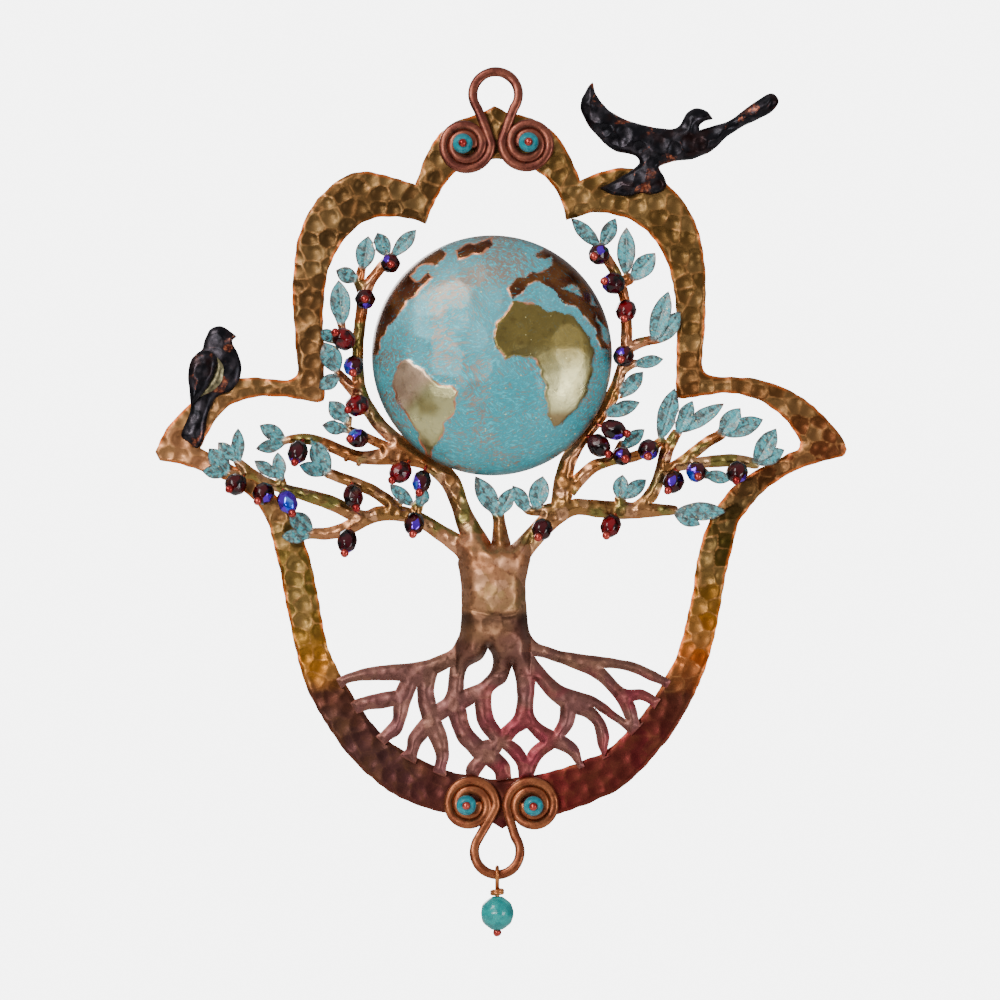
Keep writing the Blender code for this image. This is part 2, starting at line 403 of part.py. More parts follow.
def hammered_sheet(solids, holes, front, swell, reach, grid, low_x=-math.inf, high_z=math.inf):
    """A mesh of the joined outlines whose wide places swell forward, to be thickened later.

    swell is the most a point moves towards -Y, and reach how far from the edge that takes. Inner
    points are added only at x above low_x and z below high_z.
    """
    flat = flat_union(solids, holes)
    inside = BVHTree.FromBMesh(flat)
    rim = [edge for edge in flat.edges if edge.is_boundary]
    verts = list({vert for edge in rim for vert in edge.verts})
    index = {vert: i for i, vert in enumerate(verts)}
    coords = [Vector((v.co.x, v.co.z)) for v in verts]
    edges = [[index[v] for v in edge.verts] for edge in rim]

    samples = [edge.verts[0].co.lerp(edge.verts[1].co, i / 4) for edge in rim for i in range(4)]
    nearest = KDTree(len(samples))
    for i, sample in enumerate(samples):
        nearest.insert(sample, i)
    nearest.balance()

    def is_inside(x, z):
        return inside.find_nearest(Vector((x, 0.0, z)))[3] < 0.01

    low = Vector(map(min, zip(*coords)))
    high = Vector(map(max, zip(*coords)))
    rows = int((high.y - low.y) / (grid * 0.866)) + 1
    for row in range(rows):
        z = low.y + row * grid * 0.866
        x = low.x + grid * (row % 2) / 2
        while x < high.x:
            if x > low_x and z < high_z and is_inside(x, z):
                if nearest.find(Vector((x, 0.0, z)))[2] > 0.7 * grid:
                    coords.append(Vector((x, z)))
            x += grid
    points, _, triangles, _, _, _ = delaunay_2d_cdt(coords, edges, [], 0, 1e-5)
    kept = []
    for triangle in triangles:
        middle = sum((points[i] for i in triangle), Vector((0.0, 0.0))) / 3
        if is_inside(middle.x, middle.y):
            kept.append(triangle)

    located = []
    for point in points:
        edge_distance = nearest.find(Vector((point.x, 0.0, point.y)))[2]
        forward = swell * (1 - math.exp(-edge_distance / reach))
        located.append(Vector((point.x, front - forward, point.y)) * MM)
    sheet = bmesh.new()
    made = [sheet.verts.new(p) for p in located]
    for triangle in kept:
        sheet.faces.new([made[i] for i in triangle])
    bmesh.ops.delete(sheet, geom=[v for v in sheet.verts if not v.link_faces], context="VERTS")
    touching = [v.co / MM for v in sheet.verts if sum(edge.is_boundary for edge in v.link_edges) > 2]
    if touching:
        # Where two outlines meet at one point only, a small disc joins them.
        discs = [circle(place.x, place.z, 0.6, 7) for place in touching]
        return hammered_sheet([*solids, *discs], holes, front, swell, reach, grid, low_x, high_z)
    return sheet


def mesh_from(bm, name):
    mesh = bpy.data.meshes.new(name)
    bm.to_mesh(mesh)
    bm.free()
    return mesh


def sheet_object(name, bm, collection, look, thickness):
    """The front surface `bm`, thickened backwards."""
    for face in bm.faces:
        if face.normal.y > 0:
            face.normal_flip()
    obj = link_object(name, mesh_from(bm, name), collection, look)
    thick = obj.modifiers.new("thickness", "SOLIDIFY")
    thick.thickness = thickness * MM
    thick.offset = -1.0
    return obj


def flat_curve(name, loops, back, thickness, collection, look):
    """A flat plate from closed outlines, the inner ones being holes, with its back at y = back."""
    curve = bpy.data.curves.new(name, "CURVE")
    curve.dimensions = "2D"
    curve.fill_mode = "BOTH"
    curve.extrude = thickness / 2 * MM
    for loop in loops:
        line = curve.splines.new("POLY")
        line.points.add(len(loop) - 1)
        for point, (x, z) in zip(line.points, loop):
            point.co = (x * MM, z * MM, 0.0, 1.0)
        line.use_cyclic_u = True
    obj = link_object(name, curve, collection, look)
    obj.rotation_euler.x = math.pi / 2
    obj.location.y = (back - thickness / 2) * MM
    return obj


def wire_curve(name, paths, radius, resolution, collection, look):
    """A round wire along each path of (x, y, z)."""
    curve = bpy.data.curves.new(name, "CURVE")
    curve.dimensions = "3D"
    curve.bevel_depth = radius * MM
    curve.bevel_resolution = resolution
    curve.use_fill_caps = True
    for path in paths:
        line = curve.splines.new("POLY")
        line.points.add(len(path) - 1)
        for point, place in zip(line.points, path):
            point.co = (*(Vector(place) * MM), 1.0)
    return link_object(name, curve, collection, look)


def curve_to_mesh(obj):
    """Replaces a curve object by a mesh object with its caps welded on."""
    bpy.context.view_layer.update()
    graph = bpy.context.evaluated_depsgraph_get()
    mesh = bpy.data.meshes.new_from_object(obj.evaluated_get(graph))
    welded = bmesh.new()
    welded.from_mesh(mesh)
    bmesh.ops.remove_doubles(welded, verts=welded.verts, dist=1e-6)
    bmesh.ops.recalc_face_normals(welded, faces=welded.faces)
    welded.to_mesh(mesh)
    welded.free()
    made = bpy.data.objects.new(obj.name, mesh)
    made.matrix_world = obj.matrix_world
    obj.users_collection[0].objects.link(made)
    name = obj.name
    bpy.data.objects.remove(obj, do_unlink=True)
    made.name = name
    return made


def join_solid(obj, other):
    union = obj.modifiers.new("join_" + other.name, "BOOLEAN")
    union.operation = "UNION"
    union.object = other
    hide_helper(other)


def turned(name, profile, steps, collection, look, closed=False):
    """A profile of (radius, height) in millimetres turned about its object's Z axis."""
    bm = bmesh.new()
    verts = [bm.verts.new((r * MM, 0.0, h * MM)) for r, h in profile]
    for a, b in zip(verts, verts[1:]):
        bm.edges.new((a, b))
    if closed:
        bm.edges.new((verts[-1], verts[0]))
    obj = link_object(name, mesh_from(bm, name), collection, look)
    screw = obj.modifiers.new("turn", "SCREW")
    screw.steps = steps
    screw.render_steps = steps
    screw.use_merge_vertices = True
    screw.merge_threshold = 1e-5
    screw.use_smooth_shade = True
    return obj


def bead_profile(radius, half, latitudes):
    """Down the outside of a drilled oval bead and back up its hole."""
    outer = [(radius * math.cos(a), half * math.sin(a)) for a in map(math.radians, latitudes)]
    return [(PIN_HOLE, outer[0][1]), *outer, (PIN_HOLE, outer[-1][1])]


def make_frame(collection, look):
    holes = [circle(x, z, RIVET_HOLE, 8) for _, x, z in TURQUOISE_BEADS]
    return flat_curve(
        "hamsa_frame", [outline(FRAME_OUTER), outline(FRAME_INNER), *holes], 0.0, FRAME_THICK, collection, look
    )


def make_globe(collection, look):
    """A hollow dome, open at the back."""
    def depth(share):
        return GLOBE_HEIGHT * (1 - share**2.3) ** 0.62

    shares = [0.0, 0.3, 0.55, 0.75, 0.88, 0.96, 1.0]
    outer = [(GLOBE_RADIUS * s, depth(s)) for s in shares]
    inner = [((GLOBE_RADIUS - 1.2 * GLOBE_THICK) * s, depth(s) - GLOBE_THICK) for s in shares[:-1]]
    inner.append((GLOBE_RADIUS - 1.2 * GLOBE_THICK, 0.0))
    globe = turned("globe", [*outer, *reversed(inner)], 40, collection, look)
    globe.rotation_euler.x = math.pi / 2
    globe.location = Vector((GLOBE_CENTRE[0], TREE_FRONT - GAP, GLOBE_CENTRE[1])) * MM
    return globe


def bead_place(bead):
    """(centre, axis towards the ball) of a glass bead that leans as its ball shows."""
    x, z, ball_x, ball_z, diameter, length, lift = bead
    reach = length / 2 + 0.7 * BALL_RADIUS
    lean = Vector((ball_x - x, 0.0, ball_z - z)) / reach
    if lean.length > 0.93:
        lean = lean.normalized() * 0.93
    axis = Vector((lean.x, -math.sqrt(1 - lean.length_squared), lean.z))
    depth = math.sqrt((length / 2 * axis.y) ** 2 + (diameter / 2) ** 2 * (1 - axis.y**2))
    return Vector((x, TREE_FRONT - BEAD_CLEARANCE - depth - lift, z)), axis


def nearest_on_branches(x, z):
    points = [p[:2] for line in BRANCHES for p in spline(line, 1.0)]
    return min(points, key=lambda p: math.dist(p, (x, z)))


def pin_path(bead):
    """From inside the branch forward, then through the bead to its ball."""
    centre, axis = bead_place(bead)
    half = bead[5] / 2
    back = centre - axis * (half + 0.45)
    root_x, root_z = nearest_on_branches(back.x, back.z)
    path = [Vector((root_x, TREE_FRONT + 0.6, root_z))]
    if back.y < TREE_FRONT - 1.2:
        path.append(Vector((root_x, back.y + 0.4, root_z)))
    return [*path, back, centre + axis * (half + 0.2 * BALL_RADIUS)]


def ball_mesh(places):
    """One mesh of separate balls."""
    bm = bmesh.new()
    for place in places:
        made = bmesh.ops.create_icosphere(bm, subdivisions=1, radius=BALL_RADIUS * MM)
        bmesh.ops.translate(bm, verts=made["verts"], vec=place * MM)
    return mesh_from(bm, "balls")


def make_tree(collection, helpers, look, pin_look):
    solids = [root_fan()]
    for line in BRANCHES:
        solids.extend(branch_faces(line))
    solids.extend(leaf_outline(*leaf) for leaf in LEAVES)
    holes = [spline(loop, OUTLINE_STEP, closed=True) for loop in ROOT_OPENINGS]
    sheet = hammered_sheet(
        solids, holes, TREE_FRONT, TRUNK_SWELL, TRUNK_REACH, 3.6, low_x=-12.0, high_z=-116.0
    )
    tree = sheet_object("tree", sheet, collection, look, SHEET_THICK)

    pins = wire_curve("glass_bead_pins", [pin_path(b) for b in GLASS_BEADS], PIN_RADIUS, 0, helpers, pin_look)
    join_solid(tree, curve_to_mesh(pins))
    places = []
    for bead in GLASS_BEADS:
        centre, axis = bead_place(bead)
        places.append(centre + axis * (bead[5] / 2 + 0.7 * BALL_RADIUS))
    balls = link_object("glass_bead_balls", ball_mesh(places), helpers, pin_look)
    join_solid(tree, balls)
    return tree


def make_glass_beads(collection, look):
    for number, bead in enumerate(GLASS_BEADS, 1):
        centre, axis = bead_place(bead)
        profile = bead_profile(bead[4] / 2, bead[5] / 2, (68, 28, -28, -68))
        obj = turned(f"garnet_bead_{number:02d}", profile, 8, collection, look, closed=True)
        obj.rotation_mode = "QUATERNION"
        obj.rotation_quaternion = axis.to_track_quat("Z", "Y")
        obj.location = centre * MM


def spiral(centre, start_angle, direction):
    """From its outer end in to the middle; direction is +1 towards +Z from +X."""
    steps = round(SPIRAL_TURNS * 16)
    points = []
    for i in range(steps + 1):
        turns = SPIRAL_TURNS * i / steps
        radius = SPIRAL_START - SPIRAL_PITCH * turns
        angle = start_angle + direction * 2 * math.pi * turns
        points.append((centre[0] + radius * math.cos(angle), centre[1] + radius * math.sin(angle)))
    return points


def hanger_path(loop, spirals, up, loop_y, bend_from):
    """Spiral, neck, loop, neck, spiral. up is +1 where the loop stands above its spirals.

    Past z = bend_from the wire is bent out of its plane, to reach y = loop_y in the loop.
    """
    arc = []
    for i in range(17):
        angle = up * (math.pi / 2 + math.radians(125) * (1 - 2 * i / 16) * up)
        arc.append((loop[0] + LOOP_RADIUS * math.cos(angle), loop[1] + LOOP_RADIUS * math.sin(angle)))
    left = spiral(spirals[0], 0.0, -up)
    right = spiral(spirals[1], math.pi, up)
    if arc[0][0] > arc[-1][0]:
        arc.reverse()
    neck_left = spline([left[1], left[0], arc[0], arc[1]], 1.6)
    neck_right = spline([arc[-2], arc[-1], right[0], right[1]], 1.6)
    inner_left = [p for p in neck_left if min(left[0][1], arc[0][1]) < p[1] < max(left[0][1], arc[0][1])]
    inner_right = [p for p in neck_right if min(right[0][1], arc[-1][1]) < p[1] < max(right[0][1], arc[-1][1])]
    flat = [*reversed(left), *inner_left, *arc, *inner_right, *right]
    bend_to = loop[1] + up * 0.8 * LOOP_RADIUS
    path = []
    for x, z in flat:
        share = min(max((z - bend_from) / (bend_to - bend_from), 0.0), 1.0)
        ease = share * share * (3 - 2 * share)
        path.append((x, WIRE_Y + (loop_y - WIRE_Y) * ease, z))
    return path


def make_hangers(collection, look_top, look_bottom):
    top = hanger_path(TOP_LOOP, [(-7.7, -17.3), (7.9, -16.9)], 1, -WIRE_RADIUS - GAP, -7.0)
    bottom = hanger_path(BOTTOM_LOOP, [(-6.5, -182.1), (9.1, -182.3)], -1, BOTTOM_LOOP_Y, -184.0)
    wire_curve("top_hanger", [top], WIRE_RADIUS, 1, collection, look_top)
    wire_curve("bottom_hanger", [bottom], WIRE_RADIUS, 1, collection, look_bottom)


def make_turquoise(collection, bead_look, rivet_look):
    nest = math.sqrt((TURQUOISE_HALF + WIRE_RADIUS + GAP) ** 2 - (SPIRAL_START - SPIRAL_PITCH * SPIRAL_TURNS) ** 2)
    bead_y = WIRE_Y - nest - 0.3
    for name, x, z in TURQUOISE_BEADS:
        profile = bead_profile(TURQUOISE_RADIUS, TURQUOISE_HALF, (64, 36, 0, -36, -64))
        bead = turned("turquoise_bead_" + name, profile, 12, collection, bead_look, closed=True)
        bead.rotation_euler.x = math.pi / 2
        bead.location = Vector((x, bead_y, z)) * MM
        head = 0.85 * BALL_RADIUS - bead_y + TURQUOISE_HALF
        ball = [(BALL_RADIUS * math.sin(a), head + BALL_RADIUS * math.cos(a))
                for a in map(math.radians, (0, 40, 80, 120, 155))]
        rivet = turned("rivet_" + name, [*ball, (PIN_RADIUS, head - BALL_RADIUS), (PIN_RADIUS, 0.1), (0.0, 0.1)],
                       8, collection, rivet_look)
        rivet.rotation_euler.x = math.pi / 2
        rivet.location = Vector((x, 0.0, z)) * MM


def make_birds(collection, dark, brass):
    back = -(FRAME_THICK + GAP)
    body = hammered_sheet([outline(PERCHED_BODY, 2.0)], [], back - SHEET_THICK, 1.0, 2.0, 2.6)
    sheet_object("perched_bird_body", body, collection, dark, SHEET_THICK)
    flying = hammered_sheet([outline(FLYING_BIRD, 2.0)], [], back - SHEET_THICK, 1.6, 2.0, 2.6)
    sheet_object("flying_bird", flying, collection, dark, SHEET_THICK)
    patch_back = back - SHEET_THICK - 1.0 - GAP
    flat_curve("perched_bird_patch", [outline(PERCHED_PATCH, 1.6)], patch_back, 0.5, collection, brass)
    wing_front = patch_back - 0.5 - GAP - 0.8
    wing = hammered_sheet([outline(PERCHED_WING, 1.8)], [], wing_front, 0.9, 2.0, 2.2)
    sheet_object("perched_bird_wing", wing, collection, dark, 0.8)


def drop_pin_path():
    """Up the pin, round the hanger wire in an eye, then a wrap about the pin's neck."""
    y, pivot_z = BOTTOM_LOOP_Y, BOTTOM_LOOP[1] - LOOP_RADIUS
    eye = WIRE_RADIUS + GAP + PIN_RADIUS + 0.1
    wrap = 2 * PIN_RADIUS + GAP
    path = [Vector((DROP_X, y, DROP_BEAD_Z - DROP_BEAD_HALF - 0.3)), Vector((DROP_X, y, pivot_z - 3.7))]
    path.append(Vector((DROP_X, y - 0.9, pivot_z - 2.4)))
    for i in range(9):
        angle = math.radians(-30 + 240 * i / 8)
        path.append(Vector((DROP_X, y - eye * math.cos(angle), pivot_z + eye * math.sin(angle))))
    path.append(Vector((DROP_X, y + wrap, pivot_z - 2.6)))
    for i in range(17):
        angle = 2 * math.pi * 1.25 * i / 16
        height = pivot_z - 3.3 - 1.15 * 1.25 * i / 16
        path.append(Vector((DROP_X + wrap * math.sin(angle), y + wrap * math.cos(angle), height)))
    return path


def make_drop(collection, helpers, pin_look, bead_look):
    """The pin and its bead hang from an empty on the hanger wire's axis, where they swing."""
    pivot = bpy.data.objects.new("drop_pivot", None)
    pivot.location = Vector((DROP_X, BOTTOM_LOOP_Y, BOTTOM_LOOP[1] - LOOP_RADIUS)) * MM
    collection.objects.link(pivot)
    bpy.context.view_layer.update()
    pin = curve_to_mesh(wire_curve("drop_pin", [drop_pin_path()], PIN_RADIUS, 1, collection, pin_look))
    ball = Vector((DROP_X, BOTTOM_LOOP_Y, DROP_BEAD_Z - DROP_BEAD_HALF - 0.6 * BALL_RADIUS))
    join_solid(pin, link_object("drop_ball", ball_mesh([ball]), helpers, pin_look))
    profile = bead_profile(DROP_BEAD_RADIUS, DROP_BEAD_HALF, (76, 50, 17, -17, -50, -76))
    bead = turned("drop_bead", profile, 10, collection, bead_look, closed=True)
    bead.location = Vector((DROP_X, BOTTOM_LOOP_Y, DROP_BEAD_Z)) * MM
    for obj in (pin, bead):
        obj.parent = pivot
        obj.matrix_parent_inverse = pivot.matrix_world.inverted()


def main():
    clear_scene()
    parts = new_collection("hamsa_tree_of_life")
    helpers = new_collection("helpers")
    olive_brass = material("olive_brass", (0.20, 0.13, 0.05), 0.45, 1.0)
    brown_copper = material("brown_copper", (0.28, 0.13, 0.07), 0.42, 1.0)
    verdigris = material("verdigris_copper", (0.13, 0.36, 0.40), 0.6, 0.5)
    black_copper = material("blackened_copper", (0.02, 0.015, 0.018), 0.35, 0.8)
    pale_brass = material("pale_brass", (0.35, 0.30, 0.18), 0.4, 1.0)
    red_wire = material("red_brown_wire", (0.20, 0.05, 0.03), 0.35, 1.0)
    orange_wire = material("orange_brown_wire", (0.28, 0.09, 0.03), 0.35, 1.0)
    gold_wire = material("golden_copper_wire", (0.45, 0.20, 0.09), 0.3, 1.0)
    pink_copper = material("pink_copper_pin", (0.58, 0.10, 0.09), 0.25, 1.0)
    garnet = material("garnet_glass", (0.06, 0.002, 0.006), 0.06, 0.0)
    turquoise = material("turquoise_bead", (0.012, 0.37, 0.42), 0.25, 0.0)
    teal = material("teal_glass_bead", (0.06, 0.42, 0.38), 0.2, 0.0)

    make_frame(parts, olive_brass)
    make_tree(parts, helpers, brown_copper, pink_copper)
    make_globe(parts, verdigris)
    make_birds(parts, black_copper, pale_brass)
    make_hangers(parts, red_wire, orange_wire)
    make_turquoise(parts, turquoise, pink_copper)
    make_glass_beads(parts, garnet)
    make_drop(parts, helpers, gold_wire, teal)


main()
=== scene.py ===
"""The looks of the hammered hamsa hanging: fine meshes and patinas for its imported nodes."""
import json
import math

import bmesh
import bpy
import numpy as np
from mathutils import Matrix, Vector
from mathutils.geometry import delaunay_2d_cdt
from mathutils.kdtree import KDTree


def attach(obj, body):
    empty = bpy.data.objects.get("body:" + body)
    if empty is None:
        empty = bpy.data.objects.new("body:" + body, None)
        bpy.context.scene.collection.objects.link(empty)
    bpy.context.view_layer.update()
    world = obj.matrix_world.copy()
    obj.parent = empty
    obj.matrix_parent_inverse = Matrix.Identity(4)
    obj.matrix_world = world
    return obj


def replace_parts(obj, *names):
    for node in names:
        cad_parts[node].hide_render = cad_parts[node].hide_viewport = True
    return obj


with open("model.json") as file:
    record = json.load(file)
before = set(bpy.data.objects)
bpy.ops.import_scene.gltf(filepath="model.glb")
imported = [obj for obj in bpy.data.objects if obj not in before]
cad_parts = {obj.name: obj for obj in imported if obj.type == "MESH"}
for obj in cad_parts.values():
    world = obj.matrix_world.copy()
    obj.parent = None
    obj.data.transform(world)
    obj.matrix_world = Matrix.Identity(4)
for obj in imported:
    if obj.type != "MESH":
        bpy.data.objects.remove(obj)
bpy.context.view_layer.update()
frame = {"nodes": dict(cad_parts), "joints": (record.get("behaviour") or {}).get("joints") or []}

MM = 0.001  # lengths below are in millimetres
ROOT = "hanging"
FRAME_FRONT = -1.2
TREE_BACK, TREE_FRONT = -1.5, -2.5
GAP = 0.3  # between pieces that touch on the real object

GLOBE_X, GLOBE_Z = -1.0, -69.9
GLOBE_RADIUS, GLOBE_HEIGHT, GLOBE_RIM_Y = 30.0, 14.0, -2.8
LAND_RISE = 0.35

WIRE_RADIUS = 1.0
WIRE_Y = -2.6
LOOP_RADIUS = 5.7
SPIRAL_START, SPIRAL_PITCH, SPIRAL_TURNS = 6.5, 2.25, 2.0
BOTTOM_LOOP_Y = -5.6
TOP_LOOP, TOP_SPIRALS = (-0.1, WIRE_RADIUS - LOOP_RADIUS), [(-7.7, -17.3), (7.9, -16.9)]
BOTTOM_LOOP, BOTTOM_SPIRALS = (0.3, -193.7), [(-6.5, -182.1), (9.1, -182.3)]
PIN_RADIUS, BALL_RADIUS, BEAD_HOLE = 0.4, 1.05, 0.55
DEEPEN = 1.3  # the power that makes up for the view transform's paleness
SHARPNESS = 24  # of the meeting of two hammer blows

# Painted leaves: base x, base z, tip x, tip z, width.
LEAVES = [
    (-27.0, -45.4, -29.6, -39.3, 4.0), (-26.2, -45.4, -20.0, -38.6, 3.4),
    (-33.4, -48.8, -31.9, -40.2, 4.7), (-34.3, -51.2, -39.9, -48.7, 3.8),
    (-38.4, -63.0, -39.3, -51.2, 5.0), (-40.2, -66.4, -43.7, -63.6, 3.0),
    (-39.3, -74.4, -42.8, -66.8, 5.2), (-38.9, -74.8, -44.2, -78.1, 3.6),
    (-36.8, -86.8, -41.6, -81.4, 4.2), (-36.6, -88.6, -43.3, -87.3, 3.4),
    (-52.4, -91.0, -58.9, -87.4, 3.7), (-52.4, -91.7, -59.8, -93.2, 3.2),
    (-41.6, -100.0, -45.8, -91.5, 4.8), (-41.8, -99.5, -49.0, -97.3, 3.5),
    (-53.9, -101.6, -54.5, -94.2, 3.4), (-54.0, -100.6, -60.3, -96.2, 3.1),
    (-64.4, -97.2, -64.4, -88.2, 3.1), (-64.2, -96.6, -69.3, -91.7, 3.2),
    (-66.4, -99.6, -71.6, -93.2, 4.6), (-66.6, -99.2, -73.2, -98.8, 3.2),
    (-45.6, -114.0, -51.6, -109.4, 4.6), (-46.0, -114.9, -53.5, -115.1, 3.4),
    (-20.4, -107.6, -26.4, -102.2, 3.2), (-19.3, -107.8, -17.6, -103.0, 3.4),
    (1.0, -110.4, -5.1, -100.2, 4.6), (0.2, -110.4, 4.3, -103.0, 3.8), (8.4, -109.2, 4.2, -102.5, 3.6),
    (9.6, -108.8, 11.7, -100.1, 4.9), (26.4, -43.2, 18.9, -35.8, 3.4), (26.2, -43.0, 29.8, -35.8, 3.6),
    (32.4, -50.4, 32.6, -38.0, 4.4), (33.6, -51.4, 39.7, -44.4, 4.8), (38.9, -67.2, 43.0, -54.0, 4.8),
    (40.0, -67.0, 45.9, -59.0, 4.6), (34.2, -72.2, 41.7, -70.8, 3.0), (30.8, -80.6, 36.7, -74.0, 3.8),
    (26.8, -85.0, 35.8, -81.6, 3.6), (30.6, -105.8, 31.6, -99.8, 3.8),
    (31.2, -105.8, 37.4, -101.0, 3.6), (31.2, -93.2, 37.0, -88.4, 3.4), (40.9, -91.6, 44.6, -78.2, 4.8),
    (45.2, -90.0, 49.0, -81.3, 4.0), (45.0, -89.4, 56.8, -82.0, 3.8), (55.6, -90.2, 61.0, -83.1, 4.6),
    (56.0, -89.8, 66.6, -85.9, 4.6), (64.4, -97.6, 69.9, -88.2, 4.8), (64.4, -97.0, 71.9, -93.5, 4.0),
    (51.6, -99.6, 58.8, -100.8, 3.0), (44.2, -108.8, 57.4, -108.9, 4.4),
    (44.2, -109.0, 50.9, -112.2, 3.4),
]

# Knobs beaten up on the trunk: x, z, radius, rise.
TRUNK_KNOBS = [
    (-6.6, -119.2, 1.5, 1.0), (-1.8, -119.6, 1.9, 1.0), (3.6, -118.4, 1.5, 0.5), (7.4, -120.6, 1.9, 0.8),
    (-4.2, -123.8, 3.4, 0.5), (4.4, -126.6, 3.2, 0.45), (-1.0, -130.2, 3.8, 0.4), (1.5, -139.5, 4.6, 0.4),
]

# The globe's lands, as (x, z) outlines. The first two are bare olive brass, the others brown copper.
LANDS = {
    "africa": [
        (4.4, -56.8), (2.8, -58.8), (0.4, -61.6), (-0.6, -64.4), (0.0, -68.0), (2.4, -71.0),
        (5.6, -70.4), (8.0, -70.4), (10.2, -71.6), (10.8, -73.6), (12.1, -76.8), (12.5, -81.5),
        (13.1, -85.1), (14.3, -88.3), (16.7, -86.7), (19.9, -83.5), (22.3, -79.6), (23.9, -74.4),
        (24.3, -69.6), (23.5, -66.0), (21.5, -63.2), (19.9, -60.8), (17.9, -59.6), (13.1, -59.2),
        (10.8, -58.0), (8.4, -57.0), (6.4, -56.6),
    ],
    "south_america": [
        (-22.3, -71.2), (-19.5, -72.4), (-17.2, -74.8), (-14.8, -76.8), (-11.6, -77.8), (-9.2, -78.8),
        (-10.2, -81.5), (-10.4, -84.7), (-12.8, -87.1), (-13.6, -90.7), (-15.6, -92.3), (-16.0, -96.0),
        (-17.8, -94.3), (-19.1, -90.3), (-21.5, -85.5), (-24.3, -81.9), (-25.5, -78.4), (-25.5, -74.4),
        (-23.9, -71.6),
    ],
    "north_america": [
        (-34.0, -71.0), (-29.4, -69.4), (-28.6, -66.0), (-26.6, -62.8), (-24.8, -60.6), (-23.5, -58.4),
        (-21.1, -56.0), (-18.3, -53.2), (-15.4, -50.9), (-17.0, -49.6), (-20.0, -51.6), (-21.6, -50.2),
        (-19.0, -47.6), (-14.5, -47.4), (-12.4, -44.6), (-16.0, -41.0), (-30.0, -50.0), (-36.0, -62.0),
    ],
    "greenland": [
        (-10.4, -43.7), (-7.6, -42.5), (-0.8, -40.7), (-0.8, -42.7), (-3.6, -44.5), (-9.2, -46.1),
    ],
    "eurasia": [
        (2.8, -53.6), (5.6, -50.9), (8.8, -49.7), (11.5, -48.9), (14.3, -47.7), (13.9, -45.3),
        (10.6, -46.0), (9.2, -45.4), (11.9, -42.9), (16.3, -41.3), (26.3, -49.5), (32.7, -62.4),
        (31.9, -68.8), (25.9, -68.0), (24.3, -63.2), (21.9, -60.4), (19.9, -58.4), (16.3, -56.4),
        (13.9, -53.6), (11.1, -51.9), (8.4, -52.3), (6.4, -54.4), (4.4, -56.2), (3.2, -55.6),
    ],
}
BARE_LANDS = ("africa", "south_america")
SEAS = [
    [(16.6, -53.2), (18.6, -52.2), (20.4, -53.6), (21.2, -55.2), (18.4, -54.6)],
    [(23.2, -54.6), (24.4, -56.0), (25.4, -58.2), (24.0, -57.4)],
    [(24.8, -60.2), (26.8, -62.2), (29.4, -64.8), (28.2, -68.0), (26.6, -65.0)],
]


# ---------------------------------------------------------------- shapes in the plane

def smoothstep(value, low, high):
    share = np.clip((value - low) / (high - low), 0.0, 1.0)
    return share * share * (3 - 2 * share)


def hashed(i, j, seed):
    """A repeatable value from 0 to 1 for each pair of whole numbers."""
    value = np.sin(i * 127.1 + j * 311.7 + seed * 74.7) * 43758.5453
    return value - np.floor(value)


def dents(x, z, size, seed):
    """Overlapping hammer blows: height from each blow's middle, ridge between blows, tone of a blow."""
    u, v = x / size, z / size
    near_i, near_j = np.floor(u), np.floor(v)
    first = np.full(x.shape, 9.0)
    second, tone, total = first.copy(), np.zeros(x.shape), np.zeros(x.shape)
    for step_i in (-1, 0, 1):
        for step_j in (-1, 0, 1):
            i, j = near_i + step_i, near_j + step_j
            middle_u = i + 0.5 + 0.7 * (hashed(i, j, seed) - 0.5)
            middle_v = j + 0.5 + 0.7 * (hashed(i, j, seed + 1) - 0.5)
            weight = 1.6 + 1.2 * hashed(i, j, seed + 2)
            height = ((u - middle_u) ** 2 + (v - middle_v) ** 2) * weight
            total += np.exp(-SHARPNESS * height)
            closer = height < first
            second = np.where(closer, first, np.minimum(second, height))
            tone = np.where(closer, hashed(i, j, seed + 3), tone)
            first = np.where(closer, height, first)
    height = np.clip(-np.log(total) / SHARPNESS, 0.0, 0.6)
    return height, np.exp((first - second) / 0.45), tone


def is_inside(x, z, sides):
    """Which points have an odd number of the sides to their right."""
    order = np.argsort(z)
    row_x, row_z = x[order], z[order]
    odd = np.zeros(len(x), bool)
    for (ax, az), (bx, bz) in sides:
        low, high = np.searchsorted(row_z, sorted((az, bz)))
        if low < high:
            odd[low:high] ^= row_x[low:high] < ax + (row_z[low:high] - az) * (bx - ax) / (bz - az)
    inside = np.empty(len(x), bool)
    inside[order] = odd
    return inside


def signed_distance(x, z, loop):
    """Millimetres inside a closed outline, and negative outside it."""
    sides = list(zip(loop, [*loop[1:], loop[0]]))
    found = np.full(x.shape, np.inf)
    for (ax, az), (bx, bz) in sides:
        along_x, along_z = bx - ax, bz - az
        share = ((x - ax) * along_x + (z - az) * along_z) / (along_x**2 + along_z**2)
        share = np.clip(share, 0.0, 1.0)
        found = np.minimum(found, np.hypot(x - ax - share * along_x, z - az - share * along_z))
    return np.where(is_inside(x, z, sides), found, -found)


